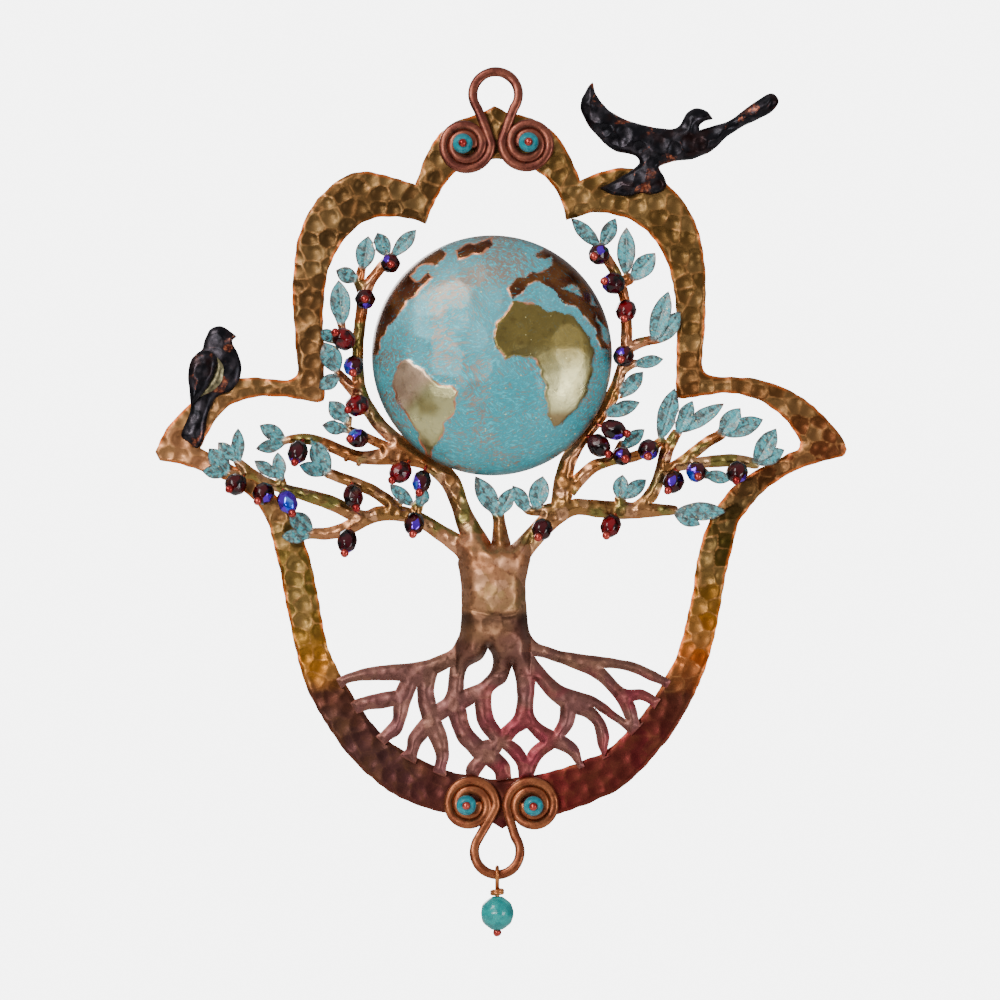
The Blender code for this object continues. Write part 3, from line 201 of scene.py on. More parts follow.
def back_loops(node):
    """Closed outlines of (x, z) in millimetres round the back face of a sheet node."""
    bm = bmesh.new()
    bm.from_mesh(frame["nodes"][node].data)
    bmesh.ops.remove_doubles(bm, verts=bm.verts, dist=2e-6)
    bm.normal_update()
    waiting = {face for face in bm.faces if face.normal.y > 0.3}
    regions = []
    while waiting:
        region, stack = set(), [waiting.pop()]
        while stack:
            face = stack.pop()
            region.add(face)
            for edge in face.edges:
                for other in edge.link_faces:
                    if other in waiting:
                        waiting.remove(other)
                        stack.append(other)
        regions.append(region)
    back = max(regions, key=lambda region: sum(face.calc_area() for face in region))
    back |= {
        face for face in bm.faces
        if face not in back and sum(other in back for edge in face.edges for other in edge.link_faces) > 1
    }
    following = {}
    for face in back:
        for loop in face.loops:
            if sum(other in back for other in loop.edge.link_faces) == 1:
                following[loop.vert] = loop.link_loop_next.vert
    loops = []
    while following:
        start, vert = following.popitem()
        points = [start]
        while vert is not start:
            points.append(vert)
            vert = following.pop(vert)
        loops.append([(v.co.x / MM, v.co.z / MM) for v in points])
    bm.free()
    return loops


def area(loop):
    return abs(sum(a[0] * b[1] - b[0] * a[1] for a, b in zip(loop, [*loop[1:], loop[0]]))) / 2


def curved_piece(a, b, c, d, step):
    """Points from b up to c on the centripetal Catmull-Rom curve through four points."""
    times = [0.0]
    for p, q in zip((a, b, c), (b, c, d)):
        times.append(times[-1] + max(math.dist(p, q), 1e-3) ** 0.5)
    count = max(1, round(math.dist(b, c) / step))
    t = (times[1] + (times[2] - times[1]) * np.arange(count) / count)[:, None]

    def between(first, last, start, end):
        return ((times[last] - t) * start + (t - times[first]) * end) / (times[last] - times[first])

    a, b, c, d = (np.array(p, float) for p in (a, b, c, d))
    ab, bc, cd = between(0, 1, a, b), between(1, 2, b, c), between(2, 3, c, d)
    return [tuple(p) for p in between(1, 2, between(0, 2, ab, bc), between(1, 3, bc, cd))]


def smooth_loop(loop, step, corner=48.0):
    """The outline rounded off between its sharp corners."""
    kept = [loop[0]]
    for point in loop[1:]:
        if math.dist(point, kept[-1]) > 0.45:
            kept.append(point)
    if math.dist(kept[0], kept[-1]) < 0.45:
        kept.pop()
    count = len(kept)
    sharp = []
    for i, (x, z) in enumerate(kept):
        (px, pz), (nx, nz) = kept[i - 1], kept[(i + 1) % count]
        turn = math.atan2(nz - z, nx - x) - math.atan2(z - pz, x - px)
        turn = (turn + math.pi) % (2 * math.pi) - math.pi
        sharp.append(abs(math.degrees(turn)) > corner)
    smooth = []
    for i in range(count):
        b, c = kept[i], kept[(i + 1) % count]
        a = kept[i - 1] if not sharp[i] else (2 * b[0] - c[0], 2 * b[1] - c[1])
        d = kept[(i + 2) % count] if not sharp[(i + 1) % count] else (2 * c[0] - b[0], 2 * c[1] - b[1])
        smooth.extend(curved_piece(a, b, c, d, step))
    return smooth


# ---------------------------------------------------------------- meshes

def flat_triangles(loops, spacing):
    """(x, z, distance to the edge, triangles) filling the loops with points `spacing` apart."""
    coords, edges, samples = [], [], []
    for loop in loops:
        first = len(coords)
        coords.extend(Vector(p) for p in loop)
        edges.extend((first + i, first + (i + 1) % len(loop)) for i in range(len(loop)))
        for a, b in zip(loop, [*loop[1:], loop[0]]):
            count = max(1, round(math.dist(a, b) / 0.25))
            samples.extend((a[0] + (b[0] - a[0]) * k / count, a[1] + (b[1] - a[1]) * k / count)
                           for k in range(count))
    tree = KDTree(len(samples))
    for i, (x, z) in enumerate(samples):
        tree.insert((x, 0.0, z), i)
    tree.balance()

    ends = np.array([(coords[a], coords[b]) for a, b in edges])
    low, high = ends.reshape(-1, 2).min(0), ends.reshape(-1, 2).max(0)
    row_height = spacing * 0.866
    for row in range(int((high[1] - low[1]) / row_height)):
        z = low[1] + (row + 0.5) * row_height
        crossing = (ends[:, 0, 1] > z) != (ends[:, 1, 1] > z)
        a, b = ends[crossing, 0], ends[crossing, 1]
        cuts = np.sort(a[:, 0] + (z - a[:, 1]) * (b[:, 0] - a[:, 0]) / (b[:, 1] - a[:, 1]))
        for left, right in zip(cuts[::2], cuts[1::2]):
            first = math.ceil(left / spacing - (row % 2) / 2)
            last = math.floor(right / spacing - (row % 2) / 2)
            for k in range(first, last + 1):
                x = (k + (row % 2) / 2) * spacing
                if tree.find((x, 0.0, z))[2] > 0.55 * spacing:
                    coords.append(Vector((x, z)))
    points, _, triangles, _, _, _ = delaunay_2d_cdt(coords, edges, [], 0, 1e-5)
    x = np.array([p.x for p in points])
    z = np.array([p.y for p in points])
    edge = np.array([tree.find((p.x, 0.0, p.y))[2] for p in points])
    triangles = np.array(triangles)
    inside = is_inside(x[triangles].mean(1), z[triangles].mean(1), ends)
    return x, z, edge, triangles[inside]


def rim_edges(triangles):
    """The directed edges that only one triangle has."""
    ends = np.concatenate([triangles[:, [0, 1]], triangles[:, [1, 2]], triangles[:, [2, 0]]])
    _, where, count = np.unique(np.sort(ends, axis=1), axis=0, return_inverse=True, return_counts=True)
    return ends[count[where.reshape(-1)] == 1]


def link(name, data, look=None, body=ROOT):
    obj = bpy.data.objects.new(name, data)
    bpy.context.scene.collection.objects.link(obj)
    if look:
        data.materials.append(look)
    if body:
        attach(obj, body)
    return obj


def new_mesh(name, verts, faces, smooth_angle=None, **attributes):
    """Verts are in millimetres. Each attribute holds one number a vertex."""
    mesh = bpy.data.meshes.new(name)
    mesh.from_pydata((np.asarray(verts) * MM).tolist(), [], [list(map(int, face)) for face in faces])
    for key, values in attributes.items():
        mesh.attributes.new(key, "FLOAT", "POINT").data.foreach_set("value", values.astype(np.float32))
    if smooth_angle is not None:
        mesh.shade_smooth()
        mesh.set_sharp_from_angle(angle=math.radians(smooth_angle))
    mesh.update()
    return mesh


def sheet_mesh(name, x, z, triangles, front, back, **attributes):
    """A closed sheet between two heights given at each point."""
    count = len(x)
    verts = np.concatenate([np.stack([x, front, z], 1), np.stack([x, back, z], 1)])
    rim = rim_edges(triangles)
    sides = np.stack([rim[:, 1], rim[:, 0], rim[:, 0] + count, rim[:, 1] + count], 1)
    faces = [*triangles.tolist(), *(triangles[:, ::-1] + count).tolist(), *sides.tolist()]
    doubled = {key: np.concatenate([values, values]) for key, values in attributes.items()}
    doubled["back"] = np.concatenate([np.zeros(count), np.ones(count)])
    return new_mesh(name, verts, faces, 52, **doubled)


def worn_loop(loop, spread, wander):
    """The outline let out a little, with the uneven edge that hammering leaves."""
    points = np.array(loop)
    along = np.roll(points, -1, 0) - np.roll(points, 1, 0)
    along /= np.maximum(np.hypot(along[:, 0], along[:, 1]), 1e-6)[:, None]
    outward = np.stack([-along[:, 1], along[:, 0]], 1)
    x, z = points.T
    waves = np.sin(x * 0.95 + 2.1 * np.sin(z * 0.41)) * np.cos(z * 0.85 + 1.7 * np.sin(x * 0.37))
    return [tuple(point) for point in points + outward * (spread + wander * waves)[:, None]]


def node_loops(node, step, smallest=4.0, corner=48.0, wander=0.1):
    """A sheet node's outlines of more than `smallest` square millimetres, smoothed and worn."""
    loops = [smooth_loop(loop, step, corner) for loop in back_loops(node) if area(loop) > smallest]
    return [worn_loop(loop, 0.14, wander) for loop in loops]


def make_hamsa(look):
    x, z, edge, triangles = flat_triangles(node_loops("hamsa_frame", 0.55, wander=0.14), 0.48)
    height, ridge, tone = dents(x + 0.9 * np.sin(z / 7), z * 1.12, 4.3, 3)
    deep = 0.85 - 0.55 * smoothstep(-z, 146.0, 158.0)
    rounded = 0.4 * np.exp(-((edge / 0.5) ** 2))
    front = FRAME_FRONT + rounded + deep * (0.42 - height) * smoothstep(edge, -0.6, 0.8)
    mesh = sheet_mesh("hamsa_sheet", x, z, triangles, front, np.zeros(len(x)),
                      edge=edge, ridge=ridge, tone=tone)
    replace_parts(link("hamsa_sheet", mesh, look), "hamsa_frame")


def leaf_shares(x, z):
    """(1 on a leaf and 0 off it, signed mm from its midrib, mm that it bends forward)."""
    on_leaf = np.zeros(x.shape)
    midrib = np.full(x.shape, 9.0)
    forward = np.zeros(x.shape)
    for number, (base_x, base_z, tip_x, tip_z, width) in enumerate(LEAVES):
        length = math.hypot(tip_x - base_x, tip_z - base_z)
        along_x, along_z = (tip_x - base_x) / length, (tip_z - base_z) / length
        along = ((x - base_x) * along_x + (z - base_z) * along_z) / length
        across = (x - base_x) * -along_z + (z - base_z) * along_x
        reach = width / 2 * np.sin(math.pi * np.clip(along, 0.0, 1.0) ** 1.1) ** 0.8 + 0.45
        here = smoothstep(reach - np.abs(across), 0.0, 0.35) * smoothstep(along, 0.02, 0.16)
        here = here * (along < 1.12)
        lift = 0.25 + 0.5 * float(hashed(number, 1.0, 5))
        twist = 0.5 * (float(hashed(number, 2.0, 5)) - 0.5)
        cup = 0.09 * across**2
        bend = np.clip(lift * along**2 + twist * across * along + cup, -0.3, 0.9)
        better = here > on_leaf
        midrib = np.where(better, across, midrib)
        forward = np.where(better, bend, forward)
        on_leaf = np.maximum(on_leaf, here)
    return on_leaf, midrib, forward * on_leaf


def trunk_swell(x, z, edge):
    """Millimetres that the trunk is beaten forward, with its knobs and the crease round its waist."""
    share = smoothstep(-z, 110.0, 121.0) * (1 - smoothstep(-z, 143.0, 153.0))
    barrel = np.sqrt(1 - np.clip(np.abs(x + 0.6) / 9.2, 0.0, 1.0) ** 2)
    swell = 4.4 * barrel * (1 - np.exp(-((edge / 1.4) ** 1.3))) * share
    for knob_x, knob_z, knob_radius, rise in TRUNK_KNOBS:
        away = ((x - knob_x) ** 2 + (z - knob_z) ** 2) / knob_radius**2
        swell = swell + rise * np.exp(-away)
    waist = z + 134.8 - 0.03 * x**2 + 0.4 * np.sin(x / 2.6)
    crease = np.exp(-((waist / 0.6) ** 2)) + 0.5 * smoothstep(-waist, 0.0, 1.5)
    return swell - 0.65 * crease * smoothstep(edge, 0.0, 2.0) * (np.abs(x) < 12) * (z > -150)


def make_tree(look):
    x, z, edge, triangles = flat_triangles(node_loops("tree", 0.5, 0.3, wander=0.06), 0.42)
    height, ridge, tone = dents(x, z, 3.0, 11)
    on_leaf, midrib, forward = leaf_shares(x, z)
    under_globe = 1 - smoothstep(np.hypot(x - GLOBE_X, z - GLOBE_Z), GLOBE_RADIUS, GLOBE_RADIUS + 2.0)
    on_trunk = smoothstep(-z, 114.0, 122.0) * (1 - smoothstep(-z, 144.0, 150.0)) * (np.abs(x) < 14)
    dome = 1.0 * (1 - np.exp(-((edge / 1.0) ** 1.5))) * (1 - 0.75 * on_leaf)
    calm = 1 - 0.75 * on_trunk - 0.55 * smoothstep(-z, 144.0, 150.0)
    hammered = 0.55 * (height - 0.2) * smoothstep(edge, 0.1, 1.0) * (1 - on_leaf) * calm
    hammered += 0.7 * (dents(x, z, 5.6, 17)[0] - 0.2) * smoothstep(edge, 0.5, 2.5) * on_trunk
    vein = 0.2 * np.exp(-((midrib / 0.3) ** 2)) * on_leaf
    swell = trunk_swell(x, z, edge)
    proud = (dome + hammered - vein + forward) * (1 - under_globe) + swell
    front = TREE_FRONT + 0.25 - proud
    back = TREE_BACK - swell * 0.95 - forward * (1 - under_globe)
    mesh = sheet_mesh("tree_sheet", x, z, triangles, front, back, edge=edge, ridge=ridge, tone=tone,
                      leaf=on_leaf, midrib=np.clip(np.abs(midrib), 0.0, 3.0))
    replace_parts(link("tree_sheet", mesh, look), "tree")
    inner = edge > 0.8
    return np.stack([x[inner], front[inner], z[inner]], 1)


def make_bird(node, back, thickness, dome, size, depth, look):
    """A sheet swollen by `dome` between its edges, with hammer blows of that size and depth."""
    x, z, edge, triangles = flat_triangles(node_loops(node, 0.4, 0.3, 100.0, 0.08), 0.4)
    height, ridge, tone = dents(x, z, size, 23 + len(node))
    rise = dome * (1 - np.exp(-edge / 1.8)) - 0.35 * np.exp(-((edge / 0.45) ** 2))
    hammered = depth * (0.3 - height) * smoothstep(edge, 0.2, 1.6)
    front = back - thickness - rise + hammered
    rear = np.full(len(x), back) - np.minimum(rise, dome) * 0.7
    mesh = sheet_mesh(node + "_sheet", x, z, triangles, front, rear, edge=edge, ridge=ridge, tone=tone)
    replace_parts(link(node + "_sheet", mesh, look), node)


def make_globe(look):
    rings, around = 96, 380
    shares = np.sin(np.linspace(0.0, math.pi / 2, rings + 1))[1:]
    angles = np.arange(around) * 2 * math.pi / around
    x = np.concatenate([[0.0], np.outer(shares, np.cos(angles)).ravel()]) * GLOBE_RADIUS + GLOBE_X
    z = np.concatenate([[0.0], np.outer(shares, np.sin(angles)).ravel()]) * GLOBE_RADIUS + GLOBE_Z
    share = np.minimum(np.hypot(x - GLOBE_X, z - GLOBE_Z) / GLOBE_RADIUS, 1.0)
    depth = GLOBE_HEIGHT * (1 - share**2.3) ** 0.62

    wobble_x = 0.28 * np.sin(z * 1.3 + 1.3 * np.sin(x * 0.9)) + 0.08 * np.sin(z * 3.3 + x * 1.4)
    wobble_z = 0.28 * np.sin(x * 1.2 + 1.1 * np.sin(z * 1.0)) + 0.08 * np.sin(x * 2.9 - z * 1.6)
    land = np.full(x.shape, -9.0)
    bare = np.zeros(x.shape)
    for name, loop in LANDS.items():
        distance = signed_distance(x + wobble_x, z + wobble_z, loop)
        bare = np.where(distance > land, float(name in BARE_LANDS), bare)
        land = np.maximum(land, distance)
    for loop in SEAS:
        land = np.minimum(land, -signed_distance(x + wobble_x, z + wobble_z, loop))
    height, ridge, _ = dents(x, z, 7.5, 41)
    rise = LAND_RISE * smoothstep(land, -0.3, 0.4) + 0.35 * height * (1 - share**6)
    front = GLOBE_RIM_Y - depth - rise * smoothstep(1 - share, 0.0, 0.02)

    inner = 1 - 1.0 / GLOBE_RADIUS
    count = len(x)
    inside_x = GLOBE_X + (x - GLOBE_X) * inner
    inside_y = GLOBE_RIM_Y - np.maximum(depth - 1.0 * (share < 0.999), 0.0)
    inside_z = GLOBE_Z + (z - GLOBE_Z) * inner
    verts = np.concatenate([np.stack([x, front, z], 1), np.stack([inside_x, inside_y, inside_z], 1)])
    faces = []
    for k in range(around):
        right = (k + 1) % around
        faces.append((0, 1 + k, 1 + right))
        faces.append((count, count + 1 + right, count + 1 + k))
        for ring in range(rings - 1):
            a, b = 1 + ring * around, 1 + (ring + 1) * around
            faces.append((a + k, b + k, b + right, a + right))
            faces.append((count + a + right, count + b + right, count + b + k, count + a + k))
        last = 1 + (rings - 1) * around
        faces.append((last + k, count + last + k, count + last + right, last + right))
    doubled = {key: np.concatenate([v, v]) for key, v in
               {"land": land, "bare": bare, "ridge": ridge, "rim": share}.items()}
    doubled["back"] = np.concatenate([np.zeros(count), np.ones(count)])
    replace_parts(link("globe_dome", new_mesh("globe_dome", verts, faces, 60, **doubled), look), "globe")


def facet_mesh(name, radius, half, sides, seed=0, coated=0.0, end=0.42):
    """A fire-polished bead about Z: rings of staggered facets with softened edges, and a drilled hole.

    The face attribute "coat" is 0 on bare glass, and 1 or 2 on the coated share, which is one side.
    """
    bm = bmesh.new()
    rings = ((-1.0, end, 0.0), (-0.6, 0.85, 0.5), (0.0, 1.0, 0.0), (0.6, 0.85, 0.5), (1.0, end, 0.0))
    for height, width, turn in rings:
        for k in range(sides):
            angle = 2 * math.pi * (k + turn) / sides
            bm.verts.new((radius * width * math.cos(angle) * MM, radius * width * math.sin(angle) * MM,
                          half * height * MM))
    hull = bmesh.ops.convex_hull(bm, input=bm.verts)
    bmesh.ops.delete(bm, geom=[v for v in hull["geom_interior"] if isinstance(v, bmesh.types.BMVert)],
                     context="VERTS")
    bmesh.ops.dissolve_limit(bm, angle_limit=math.radians(2), verts=bm.verts, edges=bm.edges)
    made = bmesh.ops.bevel(bm, geom=bm.edges[:], offset=0.1 * radius * MM, segments=3, profile=0.5,
                           affect="EDGES")
    for face in made["faces"]:
        face.smooth = True
    bm.normal_update()
    coat = bm.faces.layers.float.new("coat")
    coated_side = Vector((math.cos(2.4 * seed), math.sin(2.4 * seed), 0.8)).normalized()
    for face in bm.faces:
        facing = face.normal.dot(coated_side) - (1 - 2 * coated)
        face[coat] = 0.0 if facing <= 0 else 2.0 if facing < 0.3 else 1.0
    ends = [
        face for face in bm.faces
        if abs(face.normal.z) > 0.999
        and abs(face.calc_center_median().z) > 0.9 * half * MM
        and face.calc_area() > (0.5 * MM) ** 2
    ]
    for face in ends:
        side = 1 if face.normal.z > 0 else -1
        bmesh.ops.inset_region(bm, faces=[face], thickness=max(radius * end * 0.7 - BEAD_HOLE, 0.05) * MM)
        moved = bmesh.ops.extrude_face_region(bm, geom=[face])
        floor = [v for v in moved["geom"] if isinstance(v, bmesh.types.BMVert)]
        bmesh.ops.translate(bm, verts=floor, vec=(0, 0, -side * 0.6 * half * MM))
        bmesh.ops.delete(bm, geom=[face], context="FACES_ONLY")
    mesh = bpy.data.meshes.new(name)
    bm.to_mesh(mesh)
    bm.free()
    return mesh


def turned_mesh(name, profile, around):
    """A closed ring-shaped profile of (radius, height) turned about Z."""
    angles = np.arange(around) * 2 * math.pi / around
    verts = np.array([(r * math.cos(a), r * math.sin(a), h) for a in angles for r, h in profile])
    count = len(profile)
    faces = [
        (k * count + i, (k + 1) % around * count + i,
         (k + 1) % around * count + (i + 1) % count, k * count + (i + 1) % count)
        for k in range(around) for i in range(count)
    ]
    return new_mesh(name, verts, faces, 40)


def node_axis(node, pos, axis):
    """(radius, half length) of a bead node about its own axis, in millimetres."""
    co = np.array([v.co for v in frame["nodes"][node].data.vertices]) - pos
    along = co @ axis
    across = np.linalg.norm(co - np.outer(along, axis), axis=1)
    return across.max() / MM, along.max() / MM


def joint_of(body):
    return next(joint for joint in frame["joints"] if joint["child"] == body)


def stand_for(piece, node):
    """A bead's fine piece rides on the bead's own body and takes its node's place."""
    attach(piece, node)
    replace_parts(piece, node)


def wire(name, paths, radius, look, body=ROOT, sides=5):
    """Round wire along paths in millimetres."""
    curve = bpy.data.curves.new(name, "CURVE")
    curve.dimensions = "3D"
    curve.bevel_depth = radius * MM
    curve.bevel_resolution = sides
    curve.use_fill_caps = True
    for path in paths:
        line = curve.splines.new("POLY")
        line.points.add(len(path) - 1)
        for point, place in zip(line.points, path):
            point.co = (*(Vector(place) * MM), 1.0)
        line.use_smooth = True
    return link(name, curve, look, body)


def flattened_wire(name, path, wide, deep, look):
    """Wire beaten a little flat: `wide` and `deep` are its half sizes in and through the wall's plane."""
    places = np.array(path)
    along = np.gradient(places, axis=0)
    along /= np.linalg.norm(along, axis=1)[:, None]
    across = np.cross(along, (0.0, 1.0, 0.0))
    across /= np.linalg.norm(across, axis=1)[:, None]
    through = np.cross(across, along)
    around = 16
    angles = np.arange(around) * 2 * math.pi / around
    oval_across = np.sign(np.cos(angles)) * np.abs(np.cos(angles)) ** 0.8
    oval_through = np.sign(np.sin(angles)) * np.abs(np.sin(angles)) ** 0.8
    cap = [(share, math.sqrt(1 - share**2)) for share in (0.45, 0.8, 0.97)]
    rings = [(0, -share, size) for share, size in cap[::-1]]
    rings.extend((i, 0.0, 1.0) for i in range(len(places)))
    rings.extend((len(places) - 1, share, size) for share, size in cap)
    verts = []
    for i, beyond, size in rings:
        uneven = 1 + 0.02 * math.sin(i * 0.31) + 0.015 * math.sin(i * 0.77 + 1.0)
        centre = places[i] + along[i] * beyond * deep
        for a, b in zip(oval_across, oval_through):
            spread = across[i] * a * wide * uneven + through[i] * b * deep / uneven
            verts.append(centre + spread * size)
    faces = [tuple(range(around))[::-1], tuple(range(len(verts) - around, len(verts)))]
    for ring in range(len(rings) - 1):
        for k in range(around):
            here, there = ring * around + k, ring * around + (k + 1) % around
            faces.append((here, there, there + around, here + around))
    return link(name, new_mesh(name, verts, faces, 60), look)


def balls_mesh(name, places):
    """Small melted balls, each a little uneven."""
    bm = bmesh.new()
    for k, place in enumerate(places):
        made = bmesh.ops.create_icosphere(bm, subdivisions=3, radius=BALL_RADIUS * MM)
        for vert in made["verts"]:
            x, y, z = vert.co / MM
            lumps = 0.035 * math.sin(2.3 * x + k) * math.cos(2.9 * z + 2 * k)
            vert.co *= 1 + lumps + 0.02 * math.sin(4 * y + k)
        bmesh.ops.translate(bm, verts=made["verts"], vec=Vector(place) * MM)
    for face in bm.faces:
        face.smooth = True
    mesh = bpy.data.meshes.new(name)
    bm.to_mesh(mesh)
    bm.free()
    return mesh


def rounded_path(points, step=0.25):
    """The same corners, eased, for a bent pin."""
    path = [points[0]]
    for a, b, c in zip(points, points[1:], points[2:]):
        reach = min((b - a).length, (c - b).length, 1.6) / 2
        start, end = b + (a - b).normalized() * reach, b + (c - b).normalized() * reach
        count = max(3, round(reach / step))
        for k in range(count + 1):
            t = k / count
            path.append(start * (1 - t) ** 2 + b * 2 * t * (1 - t) + end * t**2)
    return [*path, points[-1]]


def make_garnets(looks, pin_look, tree_points):
    """The beads, and their pins from the branches through them to a ball."""
    nearest = KDTree(len(tree_points))
    for i, (x, _, z) in enumerate(tree_points):
        nearest.insert((x, 0.0, z), i)
    nearest.balance()
    paths, balls = [], []
    for joint in frame["joints"]:
        node = joint["child"]
        if not node.startswith("garnet_bead"):
            continue
        number = int(node[-2:])
        pos, axis = np.array(joint["pos_m"]), np.array(joint["axis"])
        radius, half = node_axis(node, pos, axis)
        kind = KIND_OF_GARNET.get(number, "deep")
        shape = facet_mesh(node, radius * 1.15, half * 1.03, 6, number, COATED_SHARE[kind])
        bead = link(node + "_glass", shape, looks[kind], body=None)
        bead.rotation_mode = "QUATERNION"
        bead.rotation_quaternion = Vector(axis).to_track_quat("Z", "Y")
        bead.location = pos
        stand_for(bead, node)

        centre, along = Vector(pos) / MM, Vector(axis)
        back = centre - along * (half + 0.45)
        root_x, _, root_z = tree_points[nearest.find((back.x, 0.0, back.z))[1]]
        points = [Vector((root_x, TREE_FRONT + 0.5, root_z))]
        if back.y < TREE_FRONT - 1.2:
            points.append(Vector((root_x, back.y + 0.4, root_z)))
        points.extend([back, centre + along * (half + 0.4)])
        paths.append(rounded_path(points))
        balls.append(centre + along * (half + 0.7 * BALL_RADIUS))
    wire("bead_pins", paths, PIN_RADIUS, pin_look, sides=3)
    return balls


def make_turquoise(look, pin_look, balls):
    """The four beads at the spirals, their rivets, and all the pins' balls."""
    paths = []
    for joint in frame["joints"]:
        node = joint["child"]
        if not node.startswith("turquoise_bead"):
            continue
        pos = Vector(joint["pos_m"])
        radius, half = node_axis(node, np.array(pos), np.array(joint["axis"]))
        arc = [math.radians(64 - 128 * k / 14) for k in range(15)]
        outside = [(radius * math.cos(a) ** 0.8, half * 1.08 * math.sin(a)) for a in arc]
        profile = [(0.5, half * 0.9), *outside, (0.5, -half * 0.9)]
        bead = link(node + "_stone", turned_mesh(node, profile[::-1], 40), look, body=None)
        bead.rotation_euler.x = math.pi / 2
        bead.location = pos
        stand_for(bead, node)
        centre = pos / MM
        ball = centre + Vector((0, -half - 0.85 * BALL_RADIUS, 0))
        paths.append([Vector((centre.x, -0.2, centre.z)), ball])
        balls.append(ball)
    rivets = wire("rivet_shanks", paths, PIN_RADIUS, pin_look, sides=3)
    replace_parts(rivets, *(node for node in frame["nodes"] if node.startswith("rivet_")))
    link("pin_balls", balls_mesh("pin_balls", balls), pin_look)


def spiral(centre, start_angle, direction):
    steps = round(SPIRAL_TURNS * 48)
    points = []
    for i in range(steps + 1):
        turns = SPIRAL_TURNS * i / steps
        radius = SPIRAL_START - SPIRAL_PITCH * turns
        angle = start_angle + direction * 2 * math.pi * turns
        points.append((centre[0] + radius * math.cos(angle), centre[1] + radius * math.sin(angle)))
    return points


def hanger_path(loop, spirals, up, loop_y, bend_from):
    """Spiral, neck, loop, neck, spiral. up is +1 where the loop stands above its spirals."""
    arc = []
    for i in range(49):
        angle = up * math.pi / 2 + math.radians(125) * (1 - 2 * i / 48)
        arc.append((loop[0] + LOOP_RADIUS * math.cos(angle), loop[1] + LOOP_RADIUS * math.sin(angle)))
    if arc[0][0] > arc[-1][0]:
        arc.reverse()
    left = spiral(spirals[0], 0.0, -up)
    right = spiral(spirals[1], math.pi, up)
    neck_left = curved_piece(left[1], left[0], arc[0], arc[1], 0.5)
    neck_right = curved_piece(arc[-2], arc[-1], right[0], right[1], 0.5)
    flat = [*left[:0:-1], *neck_left, *arc[:-1], *neck_right, *right]
    bend_to = loop[1] + up * 0.8 * LOOP_RADIUS
    path = []
    for x, z in flat:
        ease = float(smoothstep(up * z, up * bend_from, up * bend_to))
        path.append((x, WIRE_Y + (loop_y - WIRE_Y) * ease, z))
    return path


def make_hangers(top_look, bottom_look):
    top = hanger_path(TOP_LOOP, TOP_SPIRALS, 1, -WIRE_RADIUS - GAP, -7.0)
    bottom = hanger_path(BOTTOM_LOOP, BOTTOM_SPIRALS, -1, BOTTOM_LOOP_Y, -184.0)
    for name, path, look, slot_name in (
        ("top_hanger", top, top_look, "red_brown_wire"),
        ("bottom_hanger", bottom, bottom_look, "orange_brown_wire"),
    ):
        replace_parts(flattened_wire(name + "_wire", path, 1.2, 0.97, look), name)


def drop_pin_path(x, y, pivot_z, foot_z):
    """Up the stem, over the loop's wire as an eye, and twice round the stem as a wrap."""
    eye, wrap = WIRE_RADIUS + GAP + PIN_RADIUS + 0.15, 1.25
    path = [(x, y, foot_z)]
    path.extend((x, y - forward, pivot_z - below) for forward, below in ((0.0, 3.9), (0.35, 3.0), (1.1, 2.1)))
    for i in range(33):
        angle = math.radians(-30 + 240 * i / 32)
        path.append((x, y - eye * math.cos(angle), pivot_z + eye * math.sin(angle)))
    path.append((x, y + wrap, pivot_z - 2.4))
    for i in range(73):
        angle = 4 * math.pi * i / 72
        place = (x + wrap * math.sin(angle), y + wrap * math.cos(angle), pivot_z - 3.85 - i / 72)
        path.append(place)
    return path


def make_drop(pin_look, ball_look, bead_look):
    x, y, pivot_z = Vector(joint_of("drop")["pos_m"]) / MM
    bead_pos = np.array(joint_of("drop_bead")["pos_m"])
    radius, half = node_axis("drop_bead", bead_pos, np.array((0.0, 0.0, 1.0)))
    bead_z = bead_pos[2] / MM
    path = drop_pin_path(x, y, pivot_z, bead_z - half - 0.4)
    pin = wire("drop_pin_wire", [path], 0.52, pin_look, body="drop", sides=4)
    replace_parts(pin, "drop_pin")
    ball = balls_mesh("drop_pin_ball", [(x, y, bead_z - half - 0.6 * BALL_RADIUS)])
    link("drop_pin_ball", ball, ball_look, body="drop")
    shape = facet_mesh("drop_bead_glass", radius * 1.04, half, 9, end=0.32)
    bead = link("drop_bead_glass", shape, bead_look, body=None)
    bead.location = bead_pos
    stand_for(bead, "drop_bead")


# ---------------------------------------------------------------- materials

def colour(red, green, blue):
    """A display colour from 0 to 255 as linear light, deepened because the view transform pales it."""
    shades = np.array((red, green, blue)) / 255
    light = np.where(shades > 0.04, ((shades + 0.055) / 1.055) ** 2.4, shades / 12.92)
    return (*(light**DEEPEN).tolist(), 1.0)


